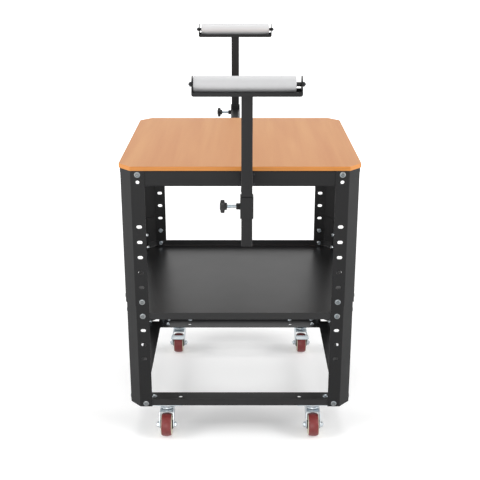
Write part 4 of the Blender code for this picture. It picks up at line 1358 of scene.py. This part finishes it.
class STAND_OT_casters(Operator):
    """Zinc-plated swivel casters with red tyres, the back two with brake pedals"""

    bl_idname = "tool_stand.casters"
    bl_label = "Casters"

    def execute(self, context):
        for end, end_name in ENDS:
            for side, side_name in SIDES:
                name = end_name + "_" + side_name
                low, high, hub = box(name + "_caster_wheel")
                self.add_plate(name)
                self.add_fork(name, hub, end > 0)
                self.add_wheel(name, low, high, hub)
                self.add_axle(name, hub)
                if end > 0:
                    self.add_pedal(name)
        return {"FINISHED"}

    def add_plate(self, name):
        """A slotted plate over a swivel race whose two bulges hide its balls, with the kingpin below."""
        node = name + "_caster_plate"
        low, high, centre = box(node)
        under = high.z - PLATE_THICK
        outline = rounded_outline(rectangle(low.x, high.x, low.y, high.y), PLATE_CORNER)
        plate = new_object(node + "_pressing", (add_prism, outline, "Z", under, high.z))
        combine(plate, bolt_slots(bolt_places(centre), PLATE_SLOT, 90, under, high.z))
        dress(plate, "stand", "zinc", (node,), PLATE_EDGE)
        race = under - RACE_HEIGHT
        bulge = RACE_RADIUS - RACE_NECK_RADIUS
        profile = [(low.z, 0), (low.z, KINGPIN_RADIUS - MM), (low.z + MM, KINGPIN_RADIUS),
                   (race, KINGPIN_RADIUS)]
        # Each bulge as shares: where it starts up the race, how tall it is and how far it swells
        for start, share, swell in ((0.0, 0.4, 0.7), (0.45, 0.55, 1.0)):
            for p in arc((0, 0), 1, -75, 75, 8):
                along = start + share * (1 + p.y) / 2
                profile.append((race + RACE_HEIGHT * along, RACE_NECK_RADIUS + bulge * swell * p.x))
        profile += [(under, RACE_NECK_RADIUS + MM / 2), (under, 0)]
        at = (centre.x, centre.y, 0)
        race_ring = new_object(node + "_race", (add_lathe, profile, "Z", at, ROUND_SIDES))
        dress(race_ring, "stand", "zinc")

    def add_fork(self, name, hub, braked):
        """A folded fork: its side view trims it, and its front is open between the arms."""
        node = name + "_caster_fork"
        low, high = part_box(node)
        centre = box(name + "_caster_plate")[2]
        back = centre.y - (high.y - centre.y)
        path = [(high.x, low.z), (high.x, high.z), (low.x, high.z), (low.x, low.z)]
        section = folded_sheet(path, FORK_SHEET, PRESSED_BEND)
        fork = new_object(node + "_pressing", (add_prism, section, "Y", low.y, high.y))
        outline = [Vector((high.y, high.z)), Vector((back, high.z))]
        if braked:
            pin = pedal_pin(name)
            outline += arc((pin.y, pin.z), PEDAL_BOSS_RADIUS, 90, 240, 10)
        outline += arc((hub.y, hub.z), FORK_NOSE_RADIUS, -180, -30, 12)
        outline.append(Vector((high.y, high.z - FORK_HEEL_DROP)))
        combine(fork, new_object("side", (add_prism, outline, "X", low.x - OVERRUN, high.x + OVERRUN)),
                "INTERSECT")
        inside = (high.x - low.x) / 2 - FORK_SHEET
        front = rectangle(centre.x - inside, centre.x + inside, low.y - OVERRUN, back)
        combine(fork, new_object("front", (add_prism, front, "Z", high.z - 2 * FORK_SHEET, high.z + OVERRUN)))
        dress(fork, name + "_caster", "zinc", (node,), PRESSED_EDGE)

    def add_wheel(self, name, low, high, hub):
        """A moulded core with thin flanges, and a cast tyre between them."""
        body, node = name + "_wheel", name + "_caster_wheel"
        at = Vector((0, hub.y, hub.z))
        half = (high.x - low.x) / 2
        radius = (high.z - low.z) / 2
        flange, lip, dish = half - CORE_FLANGE, CORE_LIP, half - CORE_DISH
        right = [(half, AXLE_RADIUS + FIT), (half, HUB_RADIUS - lip), (half - lip, HUB_RADIUS),
                 (dish, HUB_RADIUS + MM), (dish, CORE_REACH - CORE_RIM),
                 (half - lip, CORE_REACH - CORE_RIM_FACE), (half - lip / 2, CORE_REACH - lip),
                 (half - lip, CORE_REACH), (flange, CORE_REACH), (flange, TREAD_SEAT)]
        core = new_object(node + "_core", (add_lathe, mirrored(hub.x, right), "X", at, ROUND_SIDES))
        dress(core, body, "core")
        tyre = flange - FIT / 3
        foot = CORE_REACH - MM
        rise = radius - TREAD_CROWN - CORE_REACH + MM
        right = [(tyre, TREAD_SEAT + FIT / 3), (tyre, foot)]
        right += [(tyre - TREAD_SHOULDER * (1 - p.x), foot + rise * p.y) for p in arc((0, 0), 1, 0, 80, 8)]
        right += [(tyre - 2 * TREAD_SHOULDER, radius - TREAD_CROWN * 0.3), (tyre / 4, radius)]
        ring = new_object(node + "_tyre", (add_lathe, mirrored(hub.x, right), "X", at, ROUND_SIDES))
        dress(ring, body, "tread", (node,), smooth=MOULDED_ANGLE)

    def add_axle(self, name, hub):
        """A bolt with a hexagon at both ends, and a nylon thread guard on each side of the wheel."""
        node, body = name + "_caster_axle", name + "_caster"
        low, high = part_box(node)
        fork_low, fork_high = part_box(name + "_caster_fork")
        wheel_low, wheel_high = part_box(name + "_caster_wheel")
        at = Vector((0, hub.y, hub.z))
        rod = threaded_rod(node + "_rod", AXLE_RADIUS, "X", low.x, high.x, at,
                           ((high.x - AXLE_THREAD, high.x - TIP_EASE),), "zinc")
        dress(rod, body, "zinc", (node,), smooth=THREAD_ANGLE)
        nuts, guards = [], []
        for near, far, way in ((low.x + AXLE_PROUD, fork_low.x, 1), (high.x - AXLE_PROUD, fork_high.x, -1)):
            seat = far - way * FIT
            top = seat - way * WASHER_THICK
            nuts.append((add_lathe, [(seat, AXLE_CORE), (seat, WASHER_RADIUS),
                                     (top, WASHER_RADIUS - WASHER_EASE), (top, AXLE_CORE)], "X", at))
            nuts.append((add_lathe, nut_profile(*sorted((near, top)), WHEEL_NUT_FLATS, AXLE_CORE), "X", at))
        dress(new_object(node + "_nuts", *nuts), body, "zinc", smooth=THREAD_ANGLE)
        for face, wheel, way in ((fork_low.x + FORK_SHEET, wheel_low.x, 1),
                                 (fork_high.x - FORK_SHEET, wheel_high.x, -1)):
            near, far = face + way * FIT / 3, wheel - way * FIT
            guards.append((add_lathe, [
                (near, GUARD_BORE), (near, GUARD_RADIUS - GUARD_SLOPE),
                (near + way * GUARD_EASE, GUARD_RADIUS - GUARD_EASE),
                (near + way * 2 * GUARD_EASE, GUARD_RADIUS), (far, GUARD_RADIUS),
                (far, GUARD_BORE)], "X", at))
        dress(new_object(node + "_guards", *guards), body, "nylon", smooth=GUARD_ANGLE)

    def add_pedal(self, name):
        """A pressed pedal: a foot plate with rounded corners, bent down to ears on its pin."""
        node, body = name + "_caster_brake_pedal", name + "_pedal"
        low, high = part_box(node)
        pin = pedal_pin(name)
        fork_low, fork_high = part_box(name + "_caster_fork")
        inside = (fork_high.x - fork_low.x) / 2 - FORK_SHEET - MM
        centre_x = (low.x + high.x) / 2
        heel = pin.y - PEDAL_NECK
        path = [(pin.y, pin.z - PEDAL_BOSS_RADIUS / 2), (heel + MM, high.z), (low.y, high.z)]
        section = folded_sheet(path, PEDAL_SHEET, PRESSED_BEND)
        pedal = new_object(node + "_pressing", (add_prism, section, "X", low.x, high.x))
        left, right, neck, front = centre_x - inside, centre_x + inside, heel + 2 * MM, pin.y + PEDAL_EAR
        outline = [Vector(p) for p in (
            (low.x, low.y), (high.x, low.y), (high.x, heel + MM), (right, neck), (right, front),
            (left, front), (left, neck), (low.x, heel + MM))]
        plan = fillet(outline[-1], outline[0], outline[1], PEDAL_CORNER, 6)[0]
        plan += fillet(outline[0], outline[1], outline[2], PEDAL_CORNER, 6)[0] + outline[2:]
        combine(pedal, new_object("plan", (add_prism, plan, "Z", low.z - OVERRUN, high.z + OVERRUN)),
                "INTERSECT")
        dress(pedal, body, "zinc", (node,), PRESSED_EDGE)
        parts = []
        for side, side_name in SIDES:
            near, far = sorted((centre_x + side * inside, centre_x + side * (inside - PEDAL_BOSS_WIDTH)))
            parts.append((add_prism, circle((pin.y, pin.z), PEDAL_BOSS_RADIUS, SMALL_SIDES), "X", near, far))
        parts.append((add_lathe, [(fork_low.x, 0), (fork_low.x, PEDAL_PIN_RADIUS),
                                  (fork_high.x, PEDAL_PIN_RADIUS), (fork_high.x, 0)], "X", (0, pin.y, pin.z)))
        dress(new_object(node + "_pin", *parts), body, "zinc")


# Fasteners

class STAND_OT_fasteners(Operator):
    """Flange bolts and nuts of the legs, caster bolts and guide screws"""

    bl_idname = "tool_stand.fasteners"
    bl_label = "Fasteners"

    def execute(self, context):
        heads, nuts = self.leg_bolt_places()
        casters, screws = [], []
        for end, name in ENDS:
            for side, side_name in SIDES:
                centre = box(name + "_" + side_name + "_caster_plate")[2]
                for x, y in bolt_places(centre):
                    # The hole nearest the stand's middle has no bolt
                    if abs(x) < abs(centre.x) and abs(y) < abs(centre.y):
                        continue
                    casters.append((Vector((x, y, BASE_BOTTOM + BASE_SHEET)), Vector((0, 0, 1))))
                    casters.append((Vector((x, y, BASE_BOTTOM - FIT - PLATE_THICK)), Vector((0, 0, -1))))
            x, z = guide_axis(name)
            way = 1 if x > 0 else -1
            for height in GUIDE_SCREW_HEIGHTS:
                at = Vector((x + way * GUIDE_SCREW_OUT, end * (HALF_DEPTH - LEG_STEP), height))
                screws.append((at, Vector((0, end, 0))))
        reach, height = sizes().bolt_reach, sizes().bolt_head
        tree = bolt_tree()
        # The values stand in the order of BOLT_SIZES
        for name, places, finish_name, values in (
                ("leg_bolt_heads", heads, "bolt", (0.0104, height, reach, 0.0009, 0.0044, 0.0021, 0.0017)),
                ("leg_bolt_nuts", nuts, "zinc", (0.0100, 0.0058, reach - MM, 0.0012, 0.0040, 0.0012, 0.0028)),
                ("caster_bolts", casters, "zinc", (0.0090, 0.0034, 0.0068, 0.0010, 0.0036, 0.0018, 0.0014)),
                ("guide_screws", screws, "oxide", (0.0050, 0.0016, 0.0034, 0.0006, 0.0018, 0.0009, 0.0007))):
            mesh = bpy.data.meshes.new(name)
            mesh.from_pydata([at for at, facing in places], [], [])
            facings = mesh.attributes.new("facing", "FLOAT_VECTOR", "POINT")
            for i, (at, facing) in enumerate(places):
                facings.data[i].vector = facing
            bolts = run_tree(link_object(name, mesh), tree, finish_name, dict(zip(BOLT_SIZES, values)))
            dress(bolts, "stand", finish_name, smooth=BOLT_ANGLE)
        return {"FINISHED"}

    def leg_bolt_places(self):
        """Where the leg bolts' heads and nuts sit, on both flanges of every leg."""
        rows = ((FRAME_TOP - TOP_BOLT_DROP, 0, 2 * LEG_STEP),
                (BASE_BOTTOM + BASE_BOLT_RISE, LEG_STEP, 3 * LEG_STEP),
                (slot_height(BOLTED_PLACES[0]), 0, 2 * LEG_STEP),
                (slot_height(BOLTED_PLACES[1]), LEG_STEP, 3 * LEG_STEP))
        heads, nuts = [], []
        for side, side_name in SIDES:
            for end, end_name in ENDS:
                for height, outside, inside in rows:
                    for u, v, facing in ((HOLE_INSET, outside, Vector((0, end, 0))),
                                         (outside, HOLE_INSET, Vector((side, 0, 0)))):
                        at = Vector((*corner_point(side, end, u, v), height))
                        heads.append((at, facing))
                        nuts.append((at - facing * (inside - outside), -facing))
        return heads, nuts


# Stage

# Each lamp's name, place, width and watts
LAMPS = (
    ("front_box", (-0.6, -3.4, 1.1), 1.8, 31), ("left_box", (-3.2, -1.0, 1.8), 1.8, 76),
    ("right_box", (3.2, -1.0, 1.8), 1.8, 88), ("top_box", (0.0, 0.6, 3.6), 2.4, 48))


class STAND_OT_stage(Operator):
    """Pale floor and backdrop, soft studio lamps and the camera"""

    bl_idname = "tool_stand.stage"
    bl_label = "Stage"

    def execute(self, context):
        scene = context.scene
        scene.view_settings.view_transform = "Standard"
        self.add_paper()
        aim = Vector((0, 0, 0.5))
        for name, place, width, watts in LAMPS:
            lamp = bpy.data.lights.new(name, "AREA")
            lamp.size = width
            lamp.energy = watts
            holder = link_object(name, lamp)
            holder.visible_camera = False
            holder.location = place
            holder.rotation_euler = (aim - Vector(place)).to_track_quat("-Z", "Y").to_euler()
        self.light_world(scene)
        lens = bpy.data.cameras.new("camera")
        lens.sensor_width = 36
        lens.lens = 62.3
        lens.shift_y = -0.1
        camera = link_object("camera", lens)
        camera.location = (0.0002, -2.2695, 1.3530)
        tilt_down = 0.3109
        camera.rotation_euler = (math.pi / 2 - tilt_down, 0, 0)
        scene.camera = camera
        return {"FINISHED"}

    def add_paper(self):
        """A sheet that lies as the floor and curves up behind the stand."""
        half, near, far, bend, top = 9.0, -7.0, 5.0, 2.0, 7.0
        path = [Vector((near, 0)), Vector((far, 0))]
        path += arc((far, bend), bend, -90, 0, 16)[1:] + [Vector((far + bend, top))]
        work = bmesh.new()
        rows = [[work.verts.new((x, p.x, p.y)) for p in path] for x in (-half, half)]
        for i in range(len(path) - 1):
            work.faces.new((rows[1][i], rows[1][i + 1], rows[0][i + 1], rows[0][i]))
        mesh = new_mesh("studio_paper", work)
        mesh.shade_smooth()
        mesh.materials.append(finish("floor"))
        link_object("studio_paper", mesh)

    def light_world(self, scene):
        """A white room for the camera and for reflections, and a plain level of light on the object."""
        world = bpy.data.worlds.new("studio")
        scene.world = world
        world.use_nodes = True
        tree = world.node_tree
        level = add_node(tree, "ShaderNodeMapRange", {"To Min": 0.32, "To Max": 1.0},
                         {"Value": seen_plainly(tree)})
        background = tree.nodes["Background"]
        background.inputs["Color"].default_value = (1, 1, 1, 1)
        tree.links.new(level.outputs[0], background.inputs["Strength"])


class STAND_PT_panel(Panel):
    """Lists the steps that build the stand, with its sizes and colours"""

    bl_idname = "STAND_PT_panel"
    bl_label = "Rolling Tool Stand"
    bl_space_type = "VIEW_3D"
    bl_region_type = "UI"
    bl_category = "Tool Stand"

    def draw(self, context):
        for step in STEPS:
            self.layout.operator(step.bl_idname, text=step.bl_label)
        for group in (sizes(), colours()):
            for name in group.__annotations__:
                self.layout.prop(group, name)


STEPS = (
    STAND_OT_tabletop, STAND_OT_legs, STAND_OT_top_rails, STAND_OT_base_rails, STAND_OT_shelf,
    STAND_OT_guides, STAND_OT_arms, STAND_OT_posts, STAND_OT_rollers, STAND_OT_knobs, STAND_OT_casters,
    STAND_OT_fasteners, STAND_OT_stage)
CLASSES = (StandSizes, StandColours, *STEPS, STAND_PT_panel)


def register():
    for cls in CLASSES:
        bpy.utils.register_class(cls)
    bpy.types.Scene.tool_stand_sizes = PointerProperty(type=StandSizes)
    bpy.types.Scene.tool_stand_colours = PointerProperty(type=StandColours)


def unregister():
    del bpy.types.Scene.tool_stand_colours
    del bpy.types.Scene.tool_stand_sizes
    for cls in reversed(CLASSES):
        bpy.utils.unregister_class(cls)


def main():
    register()
    for step in STEPS:
        group, name = step.bl_idname.split(".")
        getattr(getattr(bpy.ops, group), name)()


if __name__ == "__main__":
    main()
